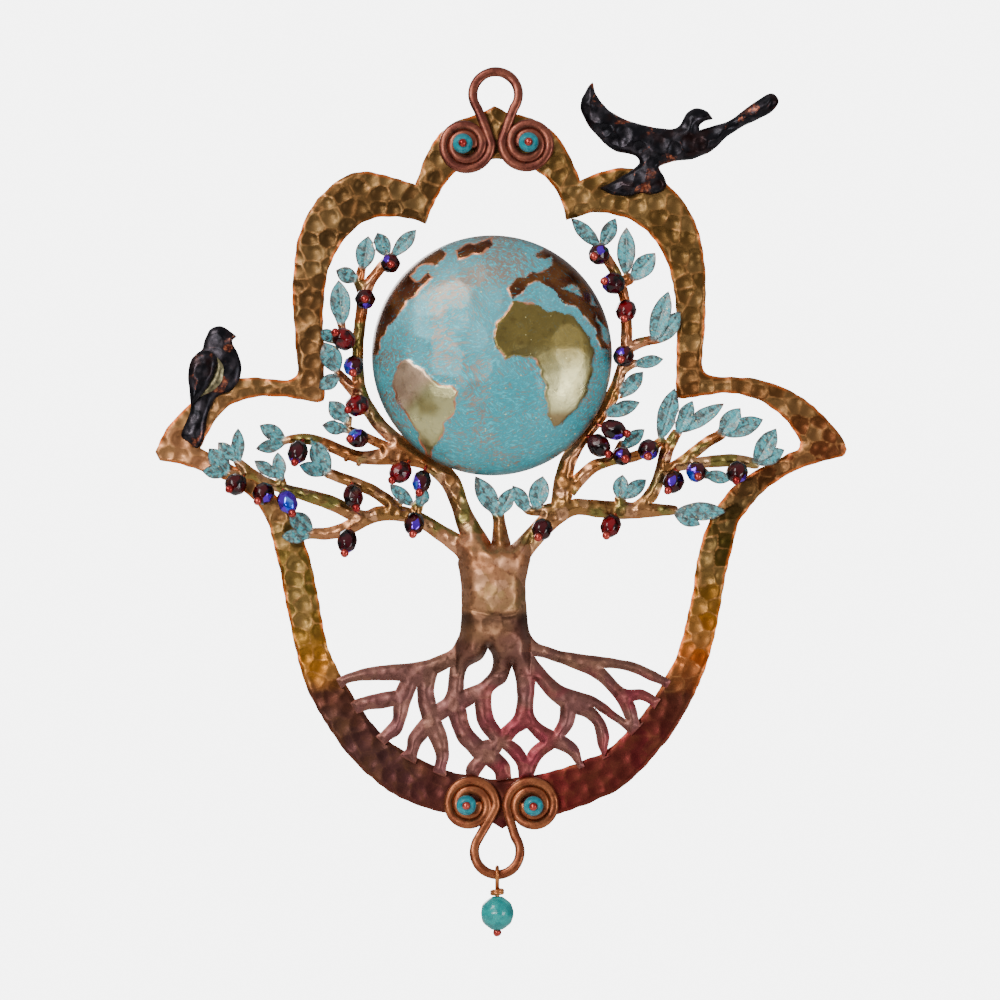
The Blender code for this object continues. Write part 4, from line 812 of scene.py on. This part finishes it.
class Look:
    """A node material, with short calls for the nodes used here. Coordinates are in millimetres."""

    def __init__(self, name):
        self.material = bpy.data.materials.new(name)
        self.material.use_nodes = True
        self.tree = self.material.node_tree
        self.shader = self.tree.nodes["Principled BSDF"]
        where = self.add("ShaderNodeTexCoord")
        scaled = self.add("ShaderNodeVectorMath", operation="SCALE")
        self.tree.links.new(where.outputs["Object"], scaled.inputs[0])
        scaled.inputs["Scale"].default_value = 1 / MM
        self.place = scaled.outputs[0]
        split = self.add("ShaderNodeSeparateXYZ")
        self.tree.links.new(self.place, split.inputs[0])
        self.x, self.y, self.z = split.outputs

    def add(self, kind, **settings):
        node = self.tree.nodes.new(kind)
        for key, value in settings.items():
            setattr(node, key, value)
        return node

    def plug(self, socket, value):
        if isinstance(value, bpy.types.NodeSocket):
            self.tree.links.new(value, socket)
        else:
            socket.default_value = value

    def attribute(self, name):
        return self.add("ShaderNodeAttribute", attribute_name=name).outputs["Fac"]

    def noise(self, scale, detail=4.0, roughness=0.55, distortion=0.0, place=None):
        node = self.add("ShaderNodeTexNoise")
        self.plug(node.inputs["Vector"], place or self.place)
        self.plug(node.inputs["Scale"], scale)
        self.plug(node.inputs["Detail"], detail)
        self.plug(node.inputs["Roughness"], roughness)
        self.plug(node.inputs["Distortion"], distortion)
        return node.outputs["Fac"]

    def brushed(self, turn, across, along):
        """Coordinates that draw noise out into strokes of that size, turned in the x-z plane."""
        node = self.add("ShaderNodeMapping", vector_type="TEXTURE")
        self.plug(node.inputs["Vector"], self.place)
        node.inputs["Rotation"].default_value = (0.0, turn, 0.0)
        node.inputs["Scale"].default_value = (along, across, across)
        return node.outputs[0]

    def specks(self, scale, size, share):
        """1 on small round flecks, on that share of the cells."""
        node = self.add("ShaderNodeTexVoronoi")
        self.plug(node.inputs["Vector"], self.place)
        self.plug(node.inputs["Scale"], scale)
        split = self.add("ShaderNodeSeparateColor")
        self.plug(split.inputs[0], node.outputs["Color"])
        chosen = self.span(split.outputs[0], 1 - share, 1 - share + 0.02)
        return self.both(self.span(node.outputs["Distance"], size, size * 0.6), chosen)

    def math(self, operation, a, b=0.0, clamp=False):
        node = self.add("ShaderNodeMath", operation=operation, use_clamp=clamp)
        self.plug(node.inputs[0], a)
        self.plug(node.inputs[1], b)
        return node.outputs[0]

    def both(self, a, b):
        return self.math("MULTIPLY", a, b)

    def either(self, a, b):
        return self.math("ADD", a, b, clamp=True)

    def span(self, value, low, high, to_low=0.0, to_high=1.0, kind="SMOOTHSTEP"):
        node = self.add("ShaderNodeMapRange", interpolation_type=kind)
        for socket, given in zip(node.inputs, (value, low, high, to_low, to_high)):
            self.plug(socket, given)
        return node.outputs[0]

    def ramp(self, value, stops):
        node = self.add("ShaderNodeValToRGB")
        elements = node.color_ramp.elements
        while len(elements) < len(stops):
            elements.new(0.5)
        for element, (position, shade) in zip(elements, stops):
            element.position = position
            element.color = shade
        self.plug(node.inputs[0], value)
        return node.outputs[0]

    def blend(self, kind, share, a, b):
        node = self.add("ShaderNodeMix", data_type=kind)
        sockets = [socket for socket in node.inputs if socket.enabled]
        for socket, value in zip(sockets, (share, a, b)):
            self.plug(socket, value)
        return next(socket for socket in node.outputs if socket.enabled)

    def mix(self, share, a, b):
        return self.blend("RGBA", share, a, b)

    def between(self, share, a, b):
        return self.blend("FLOAT", share, a, b)

    def along_height(self, stops, low=-190.0, high=-5.0):
        """A colour that changes with z, with wandering edges. The stops are (z, colour), lowest first."""
        wander = self.span(self.noise(0.06, 3.0), 0.3, 0.7, -4.0, 4.0)
        height = self.span(self.math("ADD", self.z, wander), low, high, kind="LINEAR")
        return self.ramp(height, [((z - low) / (high - low), shade) for z, shade in stops])

    def bump(self, height, strength, distance):
        node = self.add("ShaderNodeBump")
        self.plug(node.inputs["Height"], height)
        node.inputs["Strength"].default_value = strength
        node.inputs["Distance"].default_value = distance * MM
        if self.shader.inputs["Normal"].links:
            self.plug(node.inputs["Normal"], self.shader.inputs["Normal"].links[0].from_socket)
        self.plug(self.shader.inputs["Normal"], node.outputs[0])

    def set(self, **values):
        for key, value in values.items():
            self.plug(self.shader.inputs[key.replace("_", " ")], value)
        return self.material


def hamsa_look():
    """Brass rubbed olive, warmer at the thumbs and sides, and flame-darkened to maroon at the foot."""
    look = Look("hammered_olive_brass")
    left = look.along_height([
        (-186, colour(108, 62, 62)), (-168, colour(100, 68, 66)), (-156, colour(104, 74, 62)),
        (-148, colour(190, 132, 56)), (-132, colour(132, 112, 56)), (-112, colour(140, 116, 68)),
        (-98, colour(206, 152, 114)), (-80, colour(138, 104, 70)), (-44, colour(110, 86, 56)),
        (-8, colour(128, 100, 64)),
    ])
    right = look.along_height([
        (-186, colour(132, 56, 56)), (-168, colour(124, 54, 56)), (-156, colour(108, 66, 52)),
        (-148, colour(184, 102, 36)), (-134, colour(168, 118, 42)), (-120, colour(96, 82, 38)),
        (-106, colour(86, 68, 38)), (-94, colour(130, 78, 52)), (-66, colour(124, 96, 58)),
        (-8, colour(134, 108, 66)),
    ])
    base = look.mix(look.span(look.x, -4.0, 8.0), left, right)
    edge, ridge, tone = (look.attribute(name) for name in ("edge", "ridge", "tone"))
    upper = look.span(look.z, -158.0, -146.0, 0.1, 1.0)
    cloud = look.noise(0.3, 4.0, 0.55, 0.4)
    base = look.mix(look.span(cloud, 0.4, 0.75, 0.0, 0.5), base, colour(104, 72, 40))
    base = look.mix(look.both(look.span(tone, 0.2, 1.0, 0.0, 0.35), upper), base, colour(182, 150, 104))
    worn = look.both(look.span(ridge, 0.4, 1.0), look.span(look.noise(0.35), 0.35, 0.6))
    base = look.mix(look.both(worn, look.both(upper, 0.5)), base, colour(226, 170, 116))
    strip = look.both(look.span(edge, 1.0, 0.2), look.span(look.noise(0.12, 3.0), 0.4, 0.56, 0.15, 1.0))
    base = look.mix(look.both(strip, look.both(upper, 0.85)), base, colour(222, 128, 66))
    flame = look.both(look.span(look.noise(0.05, 2.0), 0.42, 0.6), look.math("SUBTRACT", 1.0, upper))
    base = look.mix(look.both(flame, 0.5), base, colour(116, 66, 54))
    look.bump(cloud, 0.3, 0.25)
    return look.set(Base_Color=base, Metallic=0.92, Roughness=look.span(cloud, 0.3, 0.7, 0.32, 0.46))


def leaf_paint(look):
    """Verdigris brushed over copper, with glitter: (colour, roughness, metal share)."""
    strokes = look.noise(0.75, 5.0, 0.62, 0.6)
    fine = look.noise(1.7, 4.0, 0.6, 0.8, look.brushed(0.7, 0.6, 1.8))
    teal = look.mix(look.span(fine, 0.38, 0.62), colour(66, 176, 186), colour(144, 206, 208))
    copper = look.mix(look.span(fine, 0.4, 0.6), colour(112, 78, 66), colour(150, 120, 108))
    bare = look.either(look.span(strokes, 0.44, 0.58), look.span(fine, 0.54, 0.64, 0.0, 0.6))
    rim = look.span(look.attribute("edge"), 0.45, 0.12)
    vein = look.span(look.attribute("midrib"), 0.3, 0.1)
    painted = look.mix(look.both(bare, 0.72), teal, copper)
    lines = look.either(look.both(rim, 0.7), look.both(vein, 0.3))
    painted = look.mix(lines, painted, colour(104, 66, 48))
    glitter = look.specks(1.1, 0.2, 0.22)
    painted = look.mix(glitter, painted, colour(255, 246, 190))
    rough = look.span(bare, 0.0, 1.0, 0.48, 0.34)
    return painted, rough, look.span(look.either(bare, glitter), 0.0, 1.0, 0.1, 0.7)


def tree_look():
    """Copper heated to bronze and olive in the branches, and to maroon in the roots, with highlights painted
    on some hammer blows.
    """
    look = Look("patinated_tree_copper")
    base = look.along_height([
        (-180, colour(142, 96, 96)), (-160, colour(144, 102, 100)), (-146, colour(142, 106, 98)),
        (-138, colour(140, 102, 88)), (-133, colour(190, 148, 114)), (-118, colour(200, 148, 112)),
        (-108, colour(172, 134, 88)), (-96, colour(186, 132, 86)), (-84, colour(196, 128, 82)),
        (-40, colour(190, 122, 78)),
    ])
    magenta = look.both(look.span(look.noise(0.08, 2.0), 0.4, 0.56),
                        look.both(look.span(look.z, -146.0, -153.0), look.span(look.x, -14.0, 2.0)))
    base = look.mix(look.both(magenta, 0.6), base, colour(160, 66, 84))
    tone, ridge, leaf, edge = (look.attribute(name) for name in ("tone", "ridge", "leaf", "edge"))
    above = look.span(look.z, -138.0, -130.0, 0.2, 1.0)
    patches = look.noise(0.1, 3.0, 0.5, 0.5)
    upward = look.both(above, look.span(look.z, -118.0, -112.0, 0.35, 0.85))
    base = look.mix(look.both(look.span(patches, 0.48, 0.6), upward), base, colour(148, 144, 88))
    # Painted highlights: a random share of the hammer blows lightened towards a pale glint, mostly above the
    # roots.
    bright = look.both(look.span(tone, 0.5, 1.0, 0.0, 0.5), above)
    base = look.mix(bright, base, colour(240, 190, 156))
    grime = look.noise(0.55, 4.0)
    base = look.mix(look.span(grime, 0.5, 0.72, 0.0, 0.6), base, colour(88, 54, 42))
    rim = look.both(look.span(edge, 0.5, 0.1), look.both(above, 0.5))
    base = look.mix(rim, base, colour(190, 104, 56))
    waist = look.both(look.span(look.z, -139.5, -136.0), look.span(look.z, -133.2, -135.0))
    waist = look.both(waist, look.span(look.math("ABSOLUTE", look.x), 13.0, 11.0, 0.0, 0.7))
    base = look.mix(waist, base, colour(74, 50, 50))
    low = look.span(look.z, -110.0, -122.0, 0.0, 0.16)
    rough = look.math("ADD", look.span(grime, 0.3, 0.7, 0.24, 0.36), low)
    paint, paint_rough, paint_metal = leaf_paint(look)
    base = look.mix(leaf, base, paint)
    look.bump(grime, 0.25, 0.15)
    return look.set(Base_Color=base, Metallic=look.between(leaf, 0.95, paint_metal),
                    Roughness=look.between(leaf, rough, paint_rough))


def globe_look():
    """Seas brushed on in strokes of verdigris with a pale highlight painted across them, and lands left as
    bare brass and copper.
    """
    look = Look("painted_globe_copper")
    land, bare, rim, back = (look.attribute(name) for name in ("land", "bare", "rim", "back"))
    strokes_a = look.noise(1.5, 5.0, 0.66, 0.7, look.brushed(0.9, 0.7, 2.8))
    strokes_b = look.noise(1.5, 5.0, 0.66, 0.7, look.brushed(-0.5, 0.7, 2.8))
    strokes_c = look.noise(1.3, 5.0, 0.66, 0.7, look.brushed(0.1, 0.7, 2.4))
    where = look.noise(0.13, 2.0)
    strokes = look.between(look.span(where, 0.42, 0.5), strokes_a, strokes_b)
    strokes = look.between(look.span(where, 0.52, 0.6), strokes, strokes_c)
    sweep = look.noise(0.07, 3.0, 0.5, 0.6)
    cyan = look.mix(look.span(strokes, 0.34, 0.5), colour(118, 216, 226), colour(68, 176, 188))
    under = look.mix(look.span(sweep, 0.42, 0.6), colour(184, 158, 140), colour(164, 172, 162))
    upper_left = look.both(look.span(look.z, -66.0, -52.0), look.span(look.x, 16.0, -6.0))
    cover = look.math("SUBTRACT", look.span(sweep, 0.35, 0.65, 0.5, 0.58), look.both(upper_left, 0.05))
    thin = look.span(look.math("SUBTRACT", strokes, cover), -0.035, 0.035)
    sea = look.mix(look.both(thin, 0.85), cyan, under)
    # A painted highlight: a pale blue-white patch over the sea, fading out towards the bottom of the globe.
    painted_sea_highlight = look.both(look.span(sweep, 0.45, 0.65), look.span(look.z, -84.0, -66.0))
    sea = look.mix(look.both(painted_sea_highlight, 0.15), sea, colour(186, 214, 224))

    patches = look.noise(0.1, 2.0, 0.5, 0.4)
    khaki = look.both(look.span(look.z, -66.0, -78.0), look.span(patches, 0.36, 0.56, 0.0, 0.85))
    brass = look.mix(khaki, colour(156, 140, 86), colour(224, 218, 170))
    south = look.span(look.z, -82.5, -85.5, 0.0, 0.75)
    brass = look.mix(look.both(south, look.span(look.x, 8.0, 10.0)), brass, colour(140, 100, 62))
    pink = look.both(look.span(look.math("ADD", look.x, look.both(look.z, -0.9)), 55.0, 49.0),
                     look.span(look.x, -8.0, -12.0))
    brass = look.mix(look.both(pink, 0.85), brass, colour(250, 216, 190))
    heated = look.span(look.noise(0.15, 4.0), 0.4, 0.6)
    brown = look.mix(heated, colour(122, 74, 44), colour(152, 106, 62))
    ground = look.mix(bare, brown, brass)
    ground = look.mix(look.span(look.noise(0.5, 4.0), 0.5, 0.75, 0.0, 0.35), ground, colour(96, 78, 44))
    smeared = look.both(look.span(strokes, 0.43, 0.36), look.between(bare, 0.85, 0.12))
    ground = look.mix(smeared, ground, colour(56, 158, 168))
    ragged = look.math("ADD", land, look.span(strokes, 0.35, 0.65, 0.3, -0.3))
    on_land = look.span(ragged, -0.1, 0.14)
    base = look.mix(on_land, sea, ground)
    coast = look.span(look.math("ABSOLUTE", look.math("SUBTRACT", land, 0.1)), 0.38, 0.08)
    west = look.span(look.math("SUBTRACT", look.noise(0.2, 2.0), look.x), -13.0, -9.0)
    broken = look.span(look.noise(0.25, 3.0), 0.42, 0.56, 0.0, 0.95)
    base = look.mix(look.both(look.both(coast, west), broken), base, colour(236, 168, 132))
    base = look.mix(look.span(rim, 0.94, 1.0, 0.0, 0.6), base, colour(96, 84, 76))
    glitter = look.either(look.specks(0.8, 0.16, 0.16), look.specks(0.3, 0.09, 0.14))
    base = look.mix(look.both(glitter, 0.9), base, colour(250, 240, 178))
    inside = look.mix(look.span(strokes, 0.4, 0.6), colour(150, 92, 62), colour(104, 70, 52))
    base = look.mix(back, base, inside)
    sea_rough = look.span(strokes, 0.3, 0.7, 0.3, 0.42)
    land_rough = look.span(sweep, 0.3, 0.7, 0.26, 0.36)
    rough = look.between(back, look.between(on_land, sea_rough, land_rough), 0.4)
    metal = look.between(on_land, look.span(thin, 0.0, 1.0, 0.15, 0.6), 0.92)
    look.bump(strokes, 0.35, -0.2)
    return look.set(Base_Color=base, Metallic=look.between(back, metal, 0.9), Roughness=rough,
                    Coat_Weight=0.22, Coat_Roughness=0.3)


def bird_look():
    look = Look("blackened_copper")
    rub = look.noise(0.2, 4.0, 0.6, 0.5)
    ridge, tone = look.attribute("ridge"), look.attribute("tone")
    spots = look.both(look.span(tone, 0.62, 0.8), look.span(rub, 0.48, 0.6))
    black = look.mix(look.span(look.noise(0.4, 4.0), 0.4, 0.7), colour(44, 42, 48), colour(86, 80, 86))
    black = look.mix(look.span(look.noise(0.16, 3.0), 0.5, 0.66, 0.0, 0.6), black, colour(66, 34, 26))
    copper = look.mix(look.span(look.noise(0.9), 0.42, 0.6), colour(140, 76, 52), colour(208, 136, 104))
    grain = look.span(look.noise(1.2, 4.0), 0.42, 0.58, 0.25, 1.0)
    worn = look.both(look.span(ridge, 0.7, 1.0), look.span(rub, 0.5, 0.66))
    share = look.both(look.either(look.both(spots, 0.85), look.both(worn, 0.5)), grain)
    look.bump(rub, 0.3, 0.3)
    return look.set(Base_Color=look.mix(share, black, copper), Metallic=0.8,
                    Roughness=look.span(rub, 0.3, 0.7, 0.26, 0.38))


def patch_look():
    look = Look("pale_breast_brass")
    cloud = look.span(look.noise(0.7, 4.0), 0.4, 0.65)
    base = look.mix(cloud, colour(118, 112, 90), colour(160, 150, 120))
    look.bump(look.noise(0.9, 4.0), 0.4, 0.12)
    rough = look.span(look.noise(1.1), 0.3, 0.7, 0.3, 0.45)
    return look.set(Base_Color=base, Metallic=0.9, Roughness=rough)


def wire_look(name, dark, light, smoothest):
    look = Look(name)
    patches = look.noise(0.22, 4.0, 0.55, 0.6)
    streaks = look.noise(0.9, 4.0, 0.6)
    base = look.mix(look.span(patches, 0.38, 0.62), colour(*dark), colour(*light))
    base = look.mix(look.span(streaks, 0.55, 0.75, 0.0, 0.5), base, colour(*(c * 0.5 for c in dark)))
    look.bump(patches, 0.35, 0.35)
    rough = look.span(streaks, 0.3, 0.7, smoothest, smoothest + 0.14)
    return look.set(Base_Color=base, Metallic=0.85, Roughness=rough)


def garnet_look(name, dark, light):
    """Glass whose depth of red varies through it, with the oily blue and violet coat on some facets."""
    look = Look(name)
    depth = look.noise(0.35, 2.0, 0.5)
    base = look.mix(look.span(depth, 0.42, 0.6), colour(*dark), colour(*light))
    coat = look.attribute("coat")
    coated = look.span(coat, 0.3, 0.7)
    oily = look.span(look.noise(0.4, 1.0), 0.42, 0.58)
    film = look.mix(oily, colour(52, 92, 228), colour(124, 170, 250))
    film = look.mix(look.span(coat, 1.3, 1.7), film, colour(124, 62, 214))
    return look.set(Base_Color=look.mix(coated, base, film), Metallic=look.both(coated, 0.75),
                    Roughness=look.span(depth, 0.3, 0.7, 0.1, 0.17), Specular_IOR_Level=0.4, IOR=1.5)


def stone_look(name, pale, deep, rough):
    look = Look(name)
    cloud = look.noise(0.45, 4.0, 0.6, 0.5)
    base = look.mix(look.span(cloud, 0.38, 0.62), colour(*pale), colour(*deep))
    look.bump(cloud, 0.1, 0.2)
    return look.set(Base_Color=base, Roughness=look.span(cloud, 0.3, 0.7, rough, rough + 0.12),
                    Specular_IOR_Level=0.5)


COATED_SHARE = {"deep": 0.04, "bright": 0.0, "coated": 0.25}
KIND_OF_GARNET = {
    3: "bright", 5: "bright", 8: "bright", 18: "bright", 27: "bright",
    4: "coated", 6: "coated", 7: "coated", 9: "coated", 14: "coated", 15: "coated",
    17: "coated", 23: "coated", 25: "coated",
}


# ---------------------------------------------------------------- stage

def area_light(name, place, target, size, power, tint=(1.0, 1.0, 1.0)):
    data = bpy.data.lights.new(name, "AREA")
    data.shape = "RECTANGLE"
    data.size, data.size_y = size
    data.energy = power
    data.color = tint
    light = link(name, data, body=None)
    light.location = place
    light.rotation_euler = (Vector(target) - Vector(place)).to_track_quat("-Z", "Y").to_euler()


def make_world():
    """A white view, and a dimmer room for everything that reflects: pale above and dark below."""
    world = bpy.data.worlds.new("studio")
    bpy.context.scene.world = world
    world.use_nodes = True
    nodes, links = world.node_tree.nodes, world.node_tree.links
    room = nodes["Background"]
    room.inputs["Strength"].default_value = 0.6
    direction = nodes.new("ShaderNodeTexCoord")
    split = nodes.new("ShaderNodeSeparateXYZ")
    spread = nodes.new("ShaderNodeMapRange")
    spread.inputs["From Min"].default_value = -1.0
    ramp = nodes.new("ShaderNodeValToRGB")
    for element, position, shade in zip(ramp.color_ramp.elements, (0.3, 0.85),
                                        ((0.10, 0.09, 0.08, 1.0), (0.95, 0.97, 1.0, 1.0))):
        element.position = position
        element.color = shade
    view = nodes.new("ShaderNodeBackground")
    view.inputs["Color"].default_value = (1.0, 1.0, 1.0, 1.0)
    view.inputs["Strength"].default_value = 6.0
    rays, chooser = nodes.new("ShaderNodeLightPath"), nodes.new("ShaderNodeMixShader")
    links.new(direction.outputs["Generated"], split.inputs[0])
    links.new(split.outputs["Z"], spread.inputs[0])
    links.new(spread.outputs[0], ramp.inputs[0])
    links.new(ramp.outputs[0], room.inputs["Color"])
    links.new(rays.outputs["Is Camera Ray"], chooser.inputs[0])
    links.new(room.outputs[0], chooser.inputs[1])
    links.new(view.outputs[0], chooser.inputs[2])
    links.new(chooser.outputs[0], nodes["World Output"].inputs["Surface"])


def make_stage():
    middle = Vector((0.001, 0.0, -0.106))
    bm = bmesh.new()
    bmesh.ops.create_circle(bm, cap_ends=True, radius=0.42, segments=96)
    bmesh.ops.translate(bm, verts=bm.verts, vec=(0, 0, -0.30))
    mesh = bpy.data.meshes.new("floor")
    bm.to_mesh(mesh)
    bm.free()
    look = Look("pale_floor")
    paint = look.mix(look.span(look.noise(0.01), 0.3, 0.7), colour(234, 234, 232), colour(240, 240, 238))
    link("floor", mesh, look.set(Base_Color=paint, Roughness=0.7), body=None)
    make_world()
    area_light("key", (-0.60, -0.80, 0.55), middle, (0.50, 0.50), 9.0, (1.0, 0.98, 0.95))
    area_light("near", (-0.60, -1.60, -0.05), middle, (0.35, 0.35), 8.0)
    area_light("fill", (0.90, -0.75, -0.30), middle, (0.30, 0.60), 5.5, (0.95, 0.97, 1.0))
    area_light("rear", (-0.50, 1.20, 0.30), middle, (0.60, 0.60), 9.0)

    camera = link("camera", bpy.data.cameras.new("camera"), body=None)
    camera.data.lens = 288.0
    camera.data.sensor_width = 36.0
    camera.data.clip_end = 10.0
    camera.location = middle + Vector((0.0, -2.0, 0.0))
    camera.rotation_euler = (math.pi / 2, 0.0, 0.0)
    bpy.context.scene.camera = camera


def main():
    pink = wire_look("fired_pink_copper", (176, 66, 66), (216, 112, 100), 0.2)
    make_hamsa(hamsa_look())
    tree_points = make_tree(tree_look())
    make_globe(globe_look())
    black = bird_look()
    make_bird("perched_bird_body", TREE_BACK, 0.9, 0.9, 3.8, 0.4, black)
    make_bird("flying_bird", TREE_BACK, 0.9, 1.5, 3.8, 0.9, black)
    make_bird("perched_bird_patch", -3.8, 0.4, 0.15, 3.0, 0.3, patch_look())
    make_bird("perched_bird_wing", -4.6, 0.7, 0.8, 4.4, 0.4, black)
    garnets = {
        "deep": garnet_look("deep_garnet_glass", (30, 2, 8), (88, 6, 22)),
        "bright": garnet_look("bright_garnet_glass", (56, 2, 14), (136, 8, 30)),
        "coated": garnet_look("coated_garnet_glass", (26, 2, 14), (84, 6, 30)),
    }
    balls = make_garnets(garnets, pink, tree_points)
    make_turquoise(stone_look("turquoise_stone", (40, 165, 175), (18, 136, 148), 0.22), pink, balls)
    make_hangers(wire_look("red_brown_wire", (136, 84, 74), (168, 110, 92), 0.3),
                 wire_look("orange_brown_wire", (150, 92, 66), (180, 120, 86), 0.28))
    make_drop(wire_look("golden_copper_wire", (184, 116, 72), (222, 160, 108), 0.2), pink,
              stone_look("teal_glass", (46, 174, 170), (28, 148, 148), 0.14))
    make_stage()


main()
